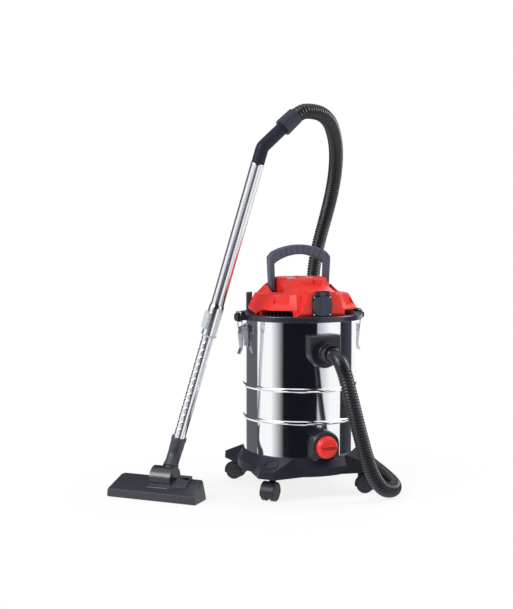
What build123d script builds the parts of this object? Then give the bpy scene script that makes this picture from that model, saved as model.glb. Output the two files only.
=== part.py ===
from build123d import *
import math
import os

# Wet and dry shop vacuum: steel drum on a castered base, motor head held down by two latches,
# ribbed hose, bent handle, telescopic tube and floor nozzle. Millimetres.
# Origin on the floor under the drum's axis, +Z up. Hose inlet, drain and tool socket face -Y.

# Drum
drum_radius = 156.0
drum_wall = 1.2
drum_floor_z = 90.0
drum_rim_z = 474.0
bead_heights = (201.0, 288.0)
bead_half_height = 6.0
bead_proud = 3.0
rim_curl = 4.0
inlet_z = 392.0
inlet_hole_radius = 26.0
drain_z = 142.5
drain_hole_radius = 19.0
wall_seat = 0.1

# Base and casters
base_bottom_z = 61.0
base_rim_z = 108.0
base_radius = 173.0
base_floor = 4.0
base_wall = 4.0
base_shoulder_z = 82.0
caster_angles = {"front_left": 225, "front_right": 315, "rear_right": 45, "rear_left": 135}
swivel_radius = 182.0
caster_trail = 16.0
wheel_radius = 24.0
wheel_width = 14.0
caster_web = 10.0
side_play = 0.5
stem_radius = 5.0
stem_length = 24.0
axle_radius = 3.0
running_play = 0.05
body_gap = 0.3

# Latches, one on each side of the drum
latch_pivot = (168.0, 444.0)
latch_pin_radius = 2.0
bracket_face_x = 159.2
bracket_low_z = 396.0
bracket_high_z = 458.0
bracket_half_width = 15.5
sheet = 3.0
rivet_heights = (404.0, 418.0)
rivet_radius = 1.6
lever_half_width = 10.0
bail_pivot = (172.0, 431.0)
bail_bar = (180.0, 490.6)
bail_half_width = 18.5
bail_wire_radius = 1.6
lug_half_width = 15.0

# Motor head
ring_radius = 172.7
ring_bottom_z = 469.0
ring_floor_z = 480.0
ring_opening_radius = 48.0
rim_groove = (152.0, 161.0)
head_floor_z = 485.0
motor_room_radius = 80.0
handle_y = 10.0
handle_foot_z = 543.0
handle_top_z = 672.0
socket_x = -3.0
socket_z = 513.0
pod_face_y = -158.0
socket_bore_radius = 19.75
socket_cup_radius = 22.0
vent_height = 14.0
vent_middles = (222, 318, 52, 128)
vent_half_angle = 19
grille_radius = 121.0
deck_z = 583.0
motor_radius = 56.0
motor_foot_z = 505.2
motor_height = 46.0
mount_top_z = 561.0
switch_x = -20.0
switch_y = -52.0
panel_length = 70.0
panel_width = 28.0
gland_z = 518.0
gland_radius = 8.0

# Hose, handle and telescopic tube
hose_radius = 20.0
hose_valley_radius = 17.6
hose_bore_radius = 16.0
hose_ribs = 64
hose_fit = 0.15
tube_radius = 17.5
tube_fit_radius = 16.45
tube_foot = Vector(-339.3, 30.1, 151.7)
tube_top = Vector(-177.9, -148.6, 881.8)
tube_lock_length = 300.0
detent_pitch = 21.0
detent_count = 13

# Floor nozzle
nozzle_front = Vector(-437.5, -35.5, 0)
nozzle_along = Vector(0.744, -0.668, 0).normalized()
nozzle_back = Vector(0.668, 0.744, 0).normalized()
nozzle_length = 262.0
stub_lean = 40.0
stub_reach = 70.0
elbow_z = 100.0
barrel_radius = 26.0
airway_radius = 12.0
nozzle_axle_radius = 2.0

os.makedirs("parts", exist_ok=True)


def radial_plane(angle, radius, z=0.0):
    """Plane across a radius: its normal points outwards, its Y axis up."""
    c = math.cos(math.radians(angle))
    s = math.sin(math.radians(angle))
    return Plane(origin=(radius * c, radius * s, z), x_dir=(-s, c, 0), z_dir=(c, s, 0))


def front_plane(y):
    """Plane facing -Y at the given y, with X to the right and Z up."""
    return Plane.XZ.offset(-y)


# Drum: a pressed stainless can with two swaged beads, a rolled rim and two holes in front
def can_section(radius, floor_z, top_z, corner=6.0):
    """Half section of the beaded can, closed along the axis."""
    with BuildSketch(Plane.XZ) as section:
        with BuildLine():
            foot_corner = (radius - corner, floor_z)
            start = Polyline((0, top_z), (0, floor_z), foot_corner, (radius, floor_z + corner))
            last = start @ 1
            for bead_z in bead_heights:
                foot = Line(last, (radius, bead_z - bead_half_height))
                swage = ThreePointArc(
                    foot @ 1, (radius + bead_proud, bead_z), (radius, bead_z + bead_half_height)
                )
                last = swage @ 1
            Polyline(last, (radius, top_z), (0, top_z))
        make_face()
    return section.sketch


with BuildPart() as drum:
    revolve(can_section(drum_radius, drum_floor_z, drum_rim_z), axis=Axis.Z)
    hollow = can_section(drum_radius - drum_wall, drum_floor_z + drum_wall, drum_rim_z + 1)
    revolve(hollow, axis=Axis.Z, mode=Mode.SUBTRACT)
    with BuildSketch(Plane.XZ):
        with Locations((drum_radius - drum_wall / 3 + rim_curl / 2, drum_rim_z - rim_curl / 2)):
            Rectangle(rim_curl, rim_curl)
    revolve(axis=Axis.Z)
    with BuildSketch(front_plane(0)):
        with Locations((0, inlet_z)):
            Circle(inlet_hole_radius)
        with Locations((0, drain_z)):
            Circle(drain_hole_radius)
    extrude(amount=2 * drum_radius, mode=Mode.SUBTRACT)
drum.part.label = "drum"
export_step(drum.part, "parts/drum.step")

# Base: a moulded tray whose well takes the drum, with four wedge feet over the casters
well_radius = drum_radius + 0.4
# Each foot narrows outwards under one flat slope: reach, width at the bottom, width at the top, height
foot_stations = ((158.0, 150.0, 98.0, 107.0), (222.0, 47.0, 41.0, 80.4))
foot_fall = (foot_stations[0][3] - foot_stations[1][3]) / (foot_stations[1][0] - foot_stations[0][0])
peg_reach = 191.0
peg_z = foot_stations[0][3] - foot_fall * (peg_reach - foot_stations[0][0])
peg_radius = 20.0
peg_groove = 2.5
with BuildPart() as base:
    with BuildSketch(Plane.XZ):
        Polygon(
            (0, drum_floor_z - base_floor),
            (0, drum_floor_z),
            (well_radius, drum_floor_z),
            (well_radius, base_rim_z),
            (well_radius + base_wall, base_rim_z),
            (base_radius, base_shoulder_z),
            (base_radius, base_bottom_z),
            (base_radius - base_wall, base_bottom_z),
            (base_radius - base_wall, base_shoulder_z - 3),
            (base_radius - 14, drum_floor_z - base_floor),
            align=None,
        )
    revolve(axis=Axis.Z)
    for angle in caster_angles.values():
        for reach, low_width, high_width, high_z in foot_stations:
            with BuildSketch(radial_plane(angle, reach)):
                Polygon(
                    (-low_width / 2, base_bottom_z),
                    (low_width / 2, base_bottom_z),
                    (high_width / 2, high_z),
                    (-high_width / 2, high_z),
                    align=None,
                )
        loft(ruled=True)
    # The well is cleared again where the feet reach into it
    with BuildSketch(Plane.XY.offset(drum_floor_z)):
        Circle(well_radius)
    extrude(amount=base_rim_z, mode=Mode.SUBTRACT)
    # Caster sockets from below
    with BuildSketch(Plane.XY.offset(base_bottom_z)):
        with PolarLocations(swivel_radius, 4, start_angle=45):
            Circle(stem_radius + running_play)
    extrude(amount=stem_length + 3, mode=Mode.SUBTRACT)
    # Ring groove of the accessory peg on each foot's slope
    for angle in caster_angles.values():
        c = math.cos(math.radians(angle))
        s = math.sin(math.radians(angle))
        peg_spot = (peg_reach * c, peg_reach * s, peg_z)
        slope = Plane(origin=peg_spot, x_dir=(-s, c, 0), z_dir=(foot_fall * c, foot_fall * s, 1))
        with BuildSketch(slope):
            Circle(peg_radius)
            Circle(peg_radius - peg_groove, mode=Mode.SUBTRACT)
        extrude(amount=-peg_groove, mode=Mode.SUBTRACT)
base.part.label = "base_dolly"
export_step(base.part, "parts/base_dolly.step")

# Caster, modelled about its own swivel axis with the wheels trailing along +X
hood_radius = wheel_radius + 3.2
pocket_radius = wheel_radius + 0.8
web_half = caster_web / 2
hood_half_width = web_half + side_play + wheel_width - 1
hood_cut_z = 17.0
neck_radius = 9.0
neck_top_z = base_bottom_z - body_gap
with BuildPart() as hood_pattern:
    with BuildSketch(Plane.XZ):
        with Locations((caster_trail, wheel_radius)):
            Circle(hood_radius)
    extrude(amount=hood_half_width, both=True)
    with BuildSketch(Plane.XY.offset(2 * wheel_radius - neck_radius)):
        Circle(neck_radius)
    extrude(amount=neck_top_z - 2 * wheel_radius + neck_radius)
    for side in (1, -1):
        with BuildSketch(Plane.XZ.offset(side * web_half)):
            with Locations((caster_trail, wheel_radius)):
                Circle(pocket_radius)
        extrude(amount=side * 2 * wheel_width, mode=Mode.SUBTRACT)
    with Locations((caster_trail, 0, 0)):
        Box(3 * hood_radius, 4 * hood_half_width, 2 * hood_cut_z, mode=Mode.SUBTRACT)
    with BuildSketch(Plane.XZ):
        with Locations((caster_trail, wheel_radius)):
            Circle(axle_radius + running_play)
    extrude(amount=web_half + 1, both=True, mode=Mode.SUBTRACT)
    with BuildSketch(Plane.XY.offset(neck_top_z - 2)):
        Circle(stem_radius)
    extrude(amount=stem_length + 2)

with BuildPart() as wheel_pattern:
    for side in (1, -1):
        with BuildSketch(Plane.XZ.offset(side * (web_half + side_play))):
            with Locations((caster_trail, wheel_radius)):
                Circle(wheel_radius)
        extrude(amount=side * wheel_width)
        chamfer(faces().sort_by(Axis.Y)[-1 if side < 0 else 0].edges(), 2)
        with BuildSketch(Plane.XZ.offset(side * (web_half + side_play + wheel_width))):
            with Locations((caster_trail, wheel_radius)):
                Circle(wheel_radius - 6)
        extrude(amount=-side * 1.5, mode=Mode.SUBTRACT)
    with BuildSketch(Plane.XZ):
        with Locations((caster_trail, wheel_radius)):
            Circle(axle_radius)
    extrude(amount=web_half + side_play + 4, both=True)

for corner, angle in caster_angles.items():
    c = math.cos(math.radians(angle))
    s = math.sin(math.radians(angle))
    spot = Location((swivel_radius * c, swivel_radius * s, 0), (0, 0, angle))
    with BuildPart() as caster_hood:
        with Locations(spot):
            add(hood_pattern.part)
    caster_hood.part.label = f"caster_hood_{corner}"
    export_step(caster_hood.part, f"parts/caster_hood_{corner}.step")
    with BuildPart() as caster_wheels:
        with Locations(spot):
            add(wheel_pattern.part)
    caster_wheels.part.label = f"caster_wheels_{corner}"
    export_step(caster_wheels.part, f"parts/caster_wheels_{corner}.step")

# Hose inlet: a D-shaped moulded flange seated on the drum, with a sleeve through the wall
flange_half = 45.0
flange_face_y = -180.0
bayonet_radius = 30.0
bayonet_depth = 8.0
port_bore_radius = 20.6
sleeve_y = -142.0
sleeve_length = 20.0
with BuildPart() as inlet_flange:
    with BuildSketch(front_plane(sleeve_y)):
        with BuildLine():
            low = inlet_z + 3
            high = inlet_z + flange_half
            sides = Polyline(
                (flange_half, low), (flange_half, high), (-flange_half, high), (-flange_half, low)
            )
            ThreePointArc(sides @ 1, (0, low - flange_half), sides @ 0)
        make_face()
    extrude(amount=sleeve_y - flange_face_y)
    chamfer(faces().sort_by(Axis.Y)[0].edges(), 4)
    with BuildSketch(front_plane(flange_face_y)):
        with Locations((0, inlet_z)):
            Circle(bayonet_radius)
    extrude(amount=bayonet_depth)
    with BuildSketch(Plane.XY):
        Circle(drum_radius + wall_seat)
    extrude(amount=drum_rim_z, mode=Mode.SUBTRACT)
    with BuildSketch(front_plane(sleeve_y)):
        with Locations((0, inlet_z)):
            Circle(inlet_hole_radius - body_gap)
    extrude(amount=sleeve_length)
    with BuildSketch(front_plane(0)):
        with Locations((0, inlet_z)):
            Circle(port_bore_radius)
    extrude(amount=2 * drum_radius, mode=Mode.SUBTRACT)
    # Finger recess in the flat top
    with Locations((flange_half / 2, flange_face_y + bayonet_depth, inlet_z + flange_half)):
        Box(26, 8, 6, mode=Mode.SUBTRACT)
inlet_flange.part.label = "inlet_flange"
export_step(inlet_flange.part, "parts/inlet_flange.step")

# Bayonet cuff on the hose's lower end: spigot in the port, collar outside, hose seated in its bore
spigot_y = -146.0
collar_y = flange_face_y - bayonet_depth - 0.2
collar_depth = 12.0
cone_y = collar_y - collar_depth + 2.2
cuff_front_y = -224.0
hose_start_y = -187.0
with BuildPart() as inlet_cuff:
    with BuildSketch(front_plane(spigot_y)):
        with Locations((0, inlet_z)):
            Circle(port_bore_radius - wall_seat)
    extrude(amount=spigot_y - collar_y + 4)
    with BuildSketch(front_plane(collar_y)):
        with Locations((0, inlet_z)):
            Circle(bayonet_radius - 3)
    extrude(amount=collar_depth)
    with BuildSketch(front_plane(cone_y)):
        with Locations((0, inlet_z)):
            Circle(hose_radius + 4.5)
    extrude(amount=cone_y - cuff_front_y, taper=2)
    with BuildSketch(front_plane(0)):
        with Locations((0, inlet_z)):
            Circle(hose_radius - 4)
    extrude(amount=-cuff_front_y, mode=Mode.SUBTRACT)
    with BuildSketch(front_plane(hose_start_y)):
        with Locations((0, inlet_z)):
            Circle(hose_radius + hose_fit)
    extrude(amount=hose_start_y - cuff_front_y, mode=Mode.SUBTRACT)
inlet_cuff.part.label = "hose_cuff_inlet"
export_step(inlet_cuff.part, "parts/hose_cuff_inlet.step")

# Drain: an arched boss on the drum's foot and a knurled cap with a ridged grip bar
boss_half = 38.0
boss_face_y = -188.0
arch_z = 147.0
plug_radius = 14.0
plug_y = -160.0
cap_radius = 30.0
cap_rim = 5.0
cap_cone = 9.0
cap_slope = 32.0
cap_face_y = -210.0
grip_half_length = 22.0
grip_half_width = 8.0
knurl_count = 22
ridge_count = 8
with BuildPart() as drain_boss:
    with BuildSketch(front_plane(sleeve_y)):
        with BuildLine():
            legs = Polyline(
                (-boss_half, arch_z), (-boss_half, base_rim_z), (boss_half, base_rim_z), (boss_half, arch_z)
            )
            ThreePointArc(legs @ 1, (0, arch_z + boss_half), legs @ 0)
        make_face()
    extrude(amount=sleeve_y - boss_face_y)
    chamfer(faces().sort_by(Axis.Y)[0].edges(), 3)
    # Seat on the can, clear of its swaged bead
    can_outside = can_section(drum_radius + body_gap, drum_floor_z, drum_rim_z)
    revolve(can_outside, axis=Axis.Z, mode=Mode.SUBTRACT)
    with BuildSketch(front_plane(sleeve_y)):
        with Locations((0, drain_z)):
            Circle(drain_hole_radius - body_gap)
    extrude(amount=sleeve_length)
    with BuildSketch(front_plane(0)):
        with Locations((0, drain_z)):
            Circle(plug_radius + running_play)
    extrude(amount=2 * drum_radius, mode=Mode.SUBTRACT)
    # Open notch under the cap where water runs out
    with Locations((0, boss_face_y, base_rim_z)):
        Box(48, 44, 12, mode=Mode.SUBTRACT)
drain_boss.part.label = "drain_boss"
export_step(drain_boss.part, "parts/drain_boss.step")

cap_seat_y = boss_face_y - body_gap
grip_y = cap_seat_y - cap_rim - cap_cone
with BuildPart() as drain_cap:
    with BuildSketch(front_plane(cap_seat_y)):
        with Locations((0, drain_z)):
            Circle(cap_radius)
            with PolarLocations(cap_radius + 0.8, knurl_count):
                Circle(2.2, mode=Mode.SUBTRACT)
    extrude(amount=cap_rim)
    with BuildSketch(front_plane(cap_seat_y - cap_rim)):
        with Locations((0, drain_z)):
            Circle(cap_radius - 1)
    extrude(amount=cap_cone, taper=cap_slope)
    # Lens-shaped grip bar across the face, slotted into ridges
    with BuildSketch(front_plane(grip_y + 1)):
        with BuildLine():
            ends = ((-grip_half_length, drain_z), (grip_half_length, drain_z))
            ThreePointArc(ends[0], (0, drain_z + grip_half_width), ends[1])
            ThreePointArc(ends[1], (0, drain_z - grip_half_width), ends[0])
        make_face()
    extrude(amount=grip_y + 1 - cap_face_y)
    with BuildSketch(front_plane(cap_face_y + 3)):
        with Locations((0, drain_z)):
            with GridLocations(4.4, 0, ridge_count, 1):
                Rectangle(2, 2 * grip_half_width)
    extrude(amount=4, mode=Mode.SUBTRACT)
    with BuildSketch(front_plane(plug_y)):
        with Locations((0, drain_z)):
            Circle(plug_radius)
    extrude(amount=plug_y - boss_face_y + 2)
drain_cap.part.label = "drain_cap"
export_step(drain_cap.part, "parts/drain_cap.step")


# Toggle latch: riveted bracket, lever on a pin, wire bail hooked over the head's lug
def latch(side, name):
    """One latch, side +1 on the right and -1 on the left."""
    px, pz = latch_pivot
    qx, qz = bail_pivot
    bx, bz = bail_bar
    lip_z = qz - 39
    with BuildPart() as bracket:
        with BuildSketch(Plane.XZ):
            with Locations((side * (bracket_face_x - 5), (bracket_low_z + bracket_high_z) / 2)):
                Rectangle(10, bracket_high_z - bracket_low_z)
        extrude(amount=bracket_half_width, both=True)
        # Two ears that hold the lever's pin, with the sheet between them cut back to the plate
        with BuildSketch(Plane.XZ):
            Polygon(
                (side * drum_radius, pz - 8), (side * px, pz - 7), (side * (px + 6), pz - 3),
                (side * (px + 6), pz + 3), (side * px, pz + 7), (side * drum_radius, pz + 10), align=None,
            )
        extrude(amount=bracket_half_width, both=True)
        with BuildSketch(Plane.XZ):
            with Locations((side * (bracket_face_x + 15), pz)):
                Rectangle(30, 60)
        extrude(amount=bracket_half_width - sheet, both=True, mode=Mode.SUBTRACT)
        with BuildSketch(Plane.XY):
            Circle(drum_radius + running_play)
        extrude(amount=drum_rim_z, mode=Mode.SUBTRACT)
        with BuildSketch(Plane.XZ):
            with Locations((side * px, pz)):
                Circle(latch_pin_radius)
        extrude(amount=bracket_half_width + 1, both=True, mode=Mode.SUBTRACT)
        with BuildSketch(Plane.YZ):
            with Locations(*[(0, z) for z in rivet_heights]):
                Circle(rivet_radius)
        extrude(amount=side * 2 * drum_radius, mode=Mode.SUBTRACT)
    bracket.part.label = f"latch_bracket_{name}"
    export_step(bracket.part, f"parts/latch_bracket_{name}.step")

    # Pressed channel: web outside, two flanges with the pin and bail holes, thumb lip at the foot
    with BuildPart() as lever:
        with BuildSketch(Plane.XZ):
            Polygon(
                (side * (px - 5), pz + 5), (side * (px + 5), pz + 6), (side * (qx + 7), qz),
                (side * (qx + 2), lip_z), (side * (qx + 9), lip_z - 16), (side * (qx + 6), lip_z - 17),
                (side * (qx - 1), lip_z - 2), (side * (qx - 4), qz - 6), align=None,
            )
        extrude(amount=lever_half_width, both=True)
        with BuildSketch(Plane.XZ):
            Polygon(
                (side * (px - 9), pz + 9), (side * (px + 3), pz + 9), (side * (qx + 5), qz),
                (side * (qx - 0.4), lip_z), (side * (qx - 7), lip_z - 7), (side * (px - 12), qz - 11),
                align=None,
            )
        extrude(amount=lever_half_width - 2, both=True, mode=Mode.SUBTRACT)
        with BuildSketch(Plane.XZ):
            with Locations((side * px, pz)):
                Circle(latch_pin_radius + running_play)
            with Locations((side * qx, qz)):
                Circle(bail_wire_radius + running_play)
        extrude(amount=lever_half_width + 1, both=True, mode=Mode.SUBTRACT)
    lever.part.label = f"latch_lever_{name}"
    export_step(lever.part, f"parts/latch_lever_{name}.step")

    # Bail: one bent wire, both ends turned inwards into the lever
    foot = Vector(side * qx, bail_half_width, qz)
    top = Vector(side * bx, bail_half_width, bz)
    tail_y = lever_half_width - 1.4
    inward = Vector(0, bail_half_width - tail_y, 0)
    with BuildPart() as bail:
        with BuildLine():
            FilletPolyline(
                foot - inward, foot, top, top - Vector(0, 2 * bail_half_width, 0),
                foot - Vector(0, 2 * bail_half_width, 0), Vector(side * qx, -tail_y, qz), radius=4,
            )
        with BuildSketch(Plane(origin=foot - inward, z_dir=(0, 1, 0))):
            Circle(bail_wire_radius)
        sweep()
    bail.part.label = f"latch_bail_{name}"
    export_step(bail.part, f"parts/latch_bail_{name}.step")


latch(1, "right")
latch(-1, "left")

with BuildPart() as latch_pins:
    with BuildSketch(Plane.XZ):
        with Locations((latch_pivot[0], latch_pivot[1]), (-latch_pivot[0], latch_pivot[1])):
            Circle(latch_pin_radius)
    extrude(amount=bracket_half_width + 1, both=True)
latch_pins.part.label = "latch_pins"
export_step(latch_pins.part, "parts/latch_pins.step")

with BuildPart() as latch_rivets:
    for side in (1, -1):
        with BuildSketch(Plane.YZ.offset(side * bracket_face_x)):
            with Locations(*[(0, z) for z in rivet_heights]):
                Circle(2 * rivet_radius + 0.2)
        extrude(amount=side * 1.4)
        with BuildSketch(Plane.YZ.offset(side * (drum_radius + wall_seat))):
            with Locations(*[(0, z) for z in rivet_heights]):
                Circle(rivet_radius)
        extrude(amount=side * (bracket_face_x - drum_radius))
latch_rivets.part.label = "latch_rivets"
export_step(latch_rivets.part, "parts/latch_rivets.step")

# Head ring: the motor head's lower plate, its rim over the drum
with BuildPart() as head_ring:
    with BuildSketch(Plane.XZ):
        Polygon(
            (ring_opening_radius, ring_floor_z),
            (rim_groove[0] - 4, ring_floor_z),
            (rim_groove[0] - 4, bracket_high_z),
            (rim_groove[0], bracket_high_z),
            (rim_groove[0], ring_floor_z),
            (rim_groove[1], ring_floor_z),
            (rim_groove[1], ring_bottom_z),
            (ring_radius, ring_bottom_z),
            (ring_radius, head_floor_z - 2),
            (ring_radius - 2, head_floor_z),
            (ring_opening_radius, head_floor_z),
            align=None,
        )
    revolve(axis=Axis.Z)
head_ring.part.label = "head_ring"
export_step(head_ring.part, "parts/head_ring.step")

# Catch lugs on the ring's two sides, each between two guard fins that stand outside the bail's legs
lug_inner = 166.0
lug_outer = 187.0
lug_seat_z = bail_bar[1] - bail_wire_radius - 1.4
fin_y = 25.0
fin_thickness = 4.0
lug_seat = 0.05
with BuildPart() as latch_lugs:
    for side in (1, -1):
        with BuildSketch(Plane.XZ):
            Polygon(
                (side * lug_inner, ring_bottom_z - 5),
                (side * (lug_outer - 3), ring_bottom_z - 5),
                (side * lug_outer, ring_bottom_z - 1),
                (side * lug_outer, head_floor_z - 3),
                (side * (lug_outer - 5), lug_seat_z),
                (side * (lug_outer - 15), lug_seat_z),
                (side * (lug_outer - 16), lug_seat_z + 4),
                (side * lug_inner, lug_seat_z + 4),
                align=None,
            )
        extrude(amount=lug_half_width, both=True)
        for middle in (fin_y, -fin_y):
            with BuildSketch(front_plane(middle + fin_thickness / 2)):
                Polygon(
                    (side * lug_inner, ring_bottom_z),
                    (side * (lug_outer - 3), ring_bottom_z),
                    (side * (lug_outer - 3), head_floor_z - 3),
                    (side * lug_inner, head_floor_z),
                    align=None,
                )
            extrude(amount=fin_thickness)
    # Seats on the ring's round edge and over its rim
    with BuildSketch(Plane.XY.offset(ring_bottom_z - 10)):
        Circle(ring_radius + lug_seat)
    extrude(amount=head_floor_z - ring_bottom_z + 10 + lug_seat, mode=Mode.SUBTRACT)
latch_lugs.part.label = "latch_lugs"
export_step(latch_lugs.part, "parts/latch_lugs.step")

with BuildPart() as drum_seal:
    with BuildSketch(Plane.XY.offset(drum_rim_z)):
        Circle(rim_groove[1] - 0.4)
        Circle(rim_groove[0] + 0.4, mode=Mode.SUBTRACT)
    extrude(amount=ring_floor_z - drum_rim_z)
drum_seal.part.label = "drum_seal"
export_step(drum_seal.part, "parts/drum_seal.step")


# Motor cover: faceted moulding of stacked tiers, a front pod for the socket, notches for the handle
def tier(z, *half):
    """One level of the cover: its right half from front to rear, mirrored to the left."""
    with BuildSketch(Plane.XY.offset(z)) as level:
        Polygon(*half, *[(-x, y) for x, y in reversed(half)], align=None)
    return level.sketch


wing_z = 503.0
shoulder_z = 540.0
skirt_tiers = (
    tier(head_floor_z, (66, -139), (122, -99), (138, -36), (138, 30), (102, 90), (56, 126)),
    tier(wing_z, (66, -143), (124, -102), (142, -38), (141, 30), (104, 92), (56, 129)),
    tier(shoulder_z, (62, -127), (108, -86), (124, -34), (123, 28), (90, 80), (50, 112)),
)
bonnet_tiers = (
    tier(shoulder_z - 3, (58, -120), (74, -82), (118, -8), (120, 30), (86, 76), (48, 108)),
    tier(560, (45, -95), (61, -57), (96, 4), (96, 32), (70, 64), (40, 90)),
    tier(deck_z, (38, -76), (58, -46), (66, -6), (66, 22), (50, 44), (34, 62)),
)
# Pod levels: height, half width at the back and at the face, face; the foot flares out on the ring
pod_levels = (
    (head_floor_z, 78, 72, pod_face_y + 6),
    (492, 72, 62, pod_face_y + 2),
    (505, 68, 54, pod_face_y),
    (524, 62, 46, pod_face_y),
    (549, 52, 38, pod_face_y),
    (565, 44, 36, -96),
)
pod_back_y = -50.0
with BuildPart() as front_pod:
    for z, back_half, face_half, face_y in pod_levels:
        with BuildSketch(Plane.XY.offset(z)):
            Polygon(
                (-back_half, pod_back_y),
                (back_half, pod_back_y),
                (face_half, face_y),
                (-face_half, face_y),
                align=None,
            )
    loft(ruled=True)

handle_leg_inner = 70.0
handle_leg_outer = 95.0
notch_front_y = -64.0
notch_rear_y = handle_y + 14
guard_y = -87.0
guard_length = 75.0
guard_width = 17.0
guard_top_z = 578.0
# Pocket in each front wing: a steep wall over a sloping ledge, along the wing's face
wing_middle = Vector(95, -122.5)
wing_run = Vector(58, 41).normalized()
wing_out = Vector(41, -58).normalized()
pocket_start = -12.0
pocket_end = 32.0
tip_inner = 124.0
tip_outer = 150.0
tip_rise = 15.0
with BuildPart() as motor_cover:
    loft(skirt_tiers, ruled=True)
    loft(bonnet_tiers, ruled=True)
    add(front_pod.part)
    # Rounded guard bar in front of the switch, with its slit
    with BuildSketch(Plane.XY.offset(guard_top_z - 26)):
        with Locations((-4, guard_y)):
            SlotOverall(guard_length, guard_width)
    extrude(amount=26)
    with Locations((1, guard_y - guard_width / 2, guard_top_z)):
        Box(3, guard_width, 22, mode=Mode.SUBTRACT)
    with BuildSketch(Plane(wing_middle + wing_run * pocket_end, wing_out, -wing_run)) as pocket_profile:
        Polygon((-20, 546), (-17, 520), (1, 508), (24, 508), (24, 546), align=None)
    pocket = extrude(amount=pocket_end - pocket_start, mode=Mode.PRIVATE)
    add(pocket, mode=Mode.SUBTRACT)
    add(mirror(pocket, Plane.YZ, mode=Mode.PRIVATE), mode=Mode.SUBTRACT)
    # Undersides of the wings slope up to their tips
    with BuildSketch(Plane.XZ):
        for side in (1, -1):
            Polygon(
                (side * tip_inner, head_floor_z),
                (side * tip_outer, head_floor_z),
                (side * tip_outer, head_floor_z + tip_rise),
                align=None,
            )
    extrude(amount=46, both=True, mode=Mode.SUBTRACT)
    # Room inside for the fan and the motor
    with BuildSketch(Plane.XY.offset(head_floor_z)):
        Circle(grille_radius + 1)
    extrude(amount=22, mode=Mode.SUBTRACT)
    with BuildSketch(Plane.XY.offset(head_floor_z)):
        Circle(motor_room_radius)
    extrude(amount=52, mode=Mode.SUBTRACT)
    with BuildSketch(Plane.XY.offset(head_floor_z)):
        Circle(motor_radius + 5)
    extrude(amount=mount_top_z - head_floor_z, mode=Mode.SUBTRACT)
    # Air outlets low in the four quarters
    for middle in vent_middles:
        with BuildSketch(Plane.XY.offset(head_floor_z)):
            with BuildLine():
                left = PolarLine((0, 0), 230, middle - vent_half_angle)
                right = PolarLine((0, 0), 230, middle + vent_half_angle)
                Line(left @ 1, right @ 1)
            make_face()
        extrude(amount=vent_height, mode=Mode.SUBTRACT)
    # Handle notches, open to the front
    with BuildSketch(Plane.XY.offset(handle_foot_z)):
        with Locations((0, (notch_front_y + notch_rear_y) / 2)):
            Rectangle(2 * handle_leg_outer, notch_rear_y - notch_front_y)
            Rectangle(2 * handle_leg_inner - 2, notch_rear_y - notch_front_y, mode=Mode.SUBTRACT)
    extrude(amount=handle_top_z - handle_foot_z, mode=Mode.SUBTRACT)
    # Socket pocket in the pod and switch pocket in the deck
    with BuildSketch(front_plane(-130)):
        with Locations((socket_x, socket_z)):
            Circle(socket_cup_radius + body_gap)
    extrude(amount=40, mode=Mode.SUBTRACT)
    with Locations((switch_x, switch_y, deck_z + 3)):
        Box(panel_length + 0.4, panel_width + 0.4, 12, mode=Mode.SUBTRACT)
    with Locations((switch_x, switch_y, deck_z - 10)):
        Box(31, 21, 18, mode=Mode.SUBTRACT)
    # Cable entry in the rear wall
    with BuildSketch(front_plane(150)):
        with Locations((0, gland_z)):
            Circle(gland_radius + wall_seat)
    extrude(amount=50, mode=Mode.SUBTRACT)
motor_cover.part.label = "motor_cover"
export_step(motor_cover.part, "parts/motor_cover.step")

# Vent grille: a black ring behind the outlets with upright fins in each
with BuildPart() as vent_grille:
    with BuildSketch(Plane.XY.offset(head_floor_z)):
        Circle(grille_radius)
        Circle(grille_radius - 4, mode=Mode.SUBTRACT)
    extrude(amount=vent_height + 5)
    for middle in vent_middles:
        for step in range(-3, 4):
            with BuildSketch(radial_plane(middle + 5 * step, grille_radius - 1)):
                with Locations((0, head_floor_z + (vent_height - body_gap) / 2)):
                    Rectangle(2.6, vent_height - body_gap)
            extrude(amount=14)
vent_grille.part.label = "vent_grille"
export_step(vent_grille.part, "parts/vent_grille.step")

# Carry handle: a moulded arch with cross grooves on the grip, both feet in the cover's notches
grip_half_depth = 12.0
leg_foot_z = handle_foot_z + body_gap
with BuildPart() as carry_handle:
    with BuildSketch(front_plane(handle_y)):
        with BuildLine():
            outer_arc = ThreePointArc((-80, 652), (0, handle_top_z), (80, 652))
            inner_arc = ThreePointArc((75, 620), (0, handle_top_z - 27), (-75, 620))
            Polyline(
                outer_arc @ 1, (92, 638), (87, leg_foot_z), (72, leg_foot_z), inner_arc @ 0
            )
            Polyline(
                inner_arc @ 1, (-72, leg_foot_z), (-87, leg_foot_z), (-92, 638), outer_arc @ 0
            )
        make_face()
        fillet(vertices().group_by(Axis.Y)[1:4], 8)
    extrude(amount=grip_half_depth, both=True)
    chamfer(faces().filter_by(Axis.Y).edges(), 3)
    # Cross grooves on both faces of the grip, square to its arc
    for groove in range(8):
        lean = 6.4 * (groove - 3.5)
        across = Location((0, 506, 0), (0, 0, -lean))
        for face_y, depth in ((handle_y - grip_half_depth, -1.2), (handle_y + grip_half_depth, 1.2)):
            with BuildSketch(front_plane(face_y)):
                with Locations(across):
                    with Locations((0, 152)):
                        Rectangle(1.8, 40)
            extrude(amount=depth, mode=Mode.SUBTRACT)
carry_handle.part.label = "carry_handle"
export_step(carry_handle.part, "parts/carry_handle.step")

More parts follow.
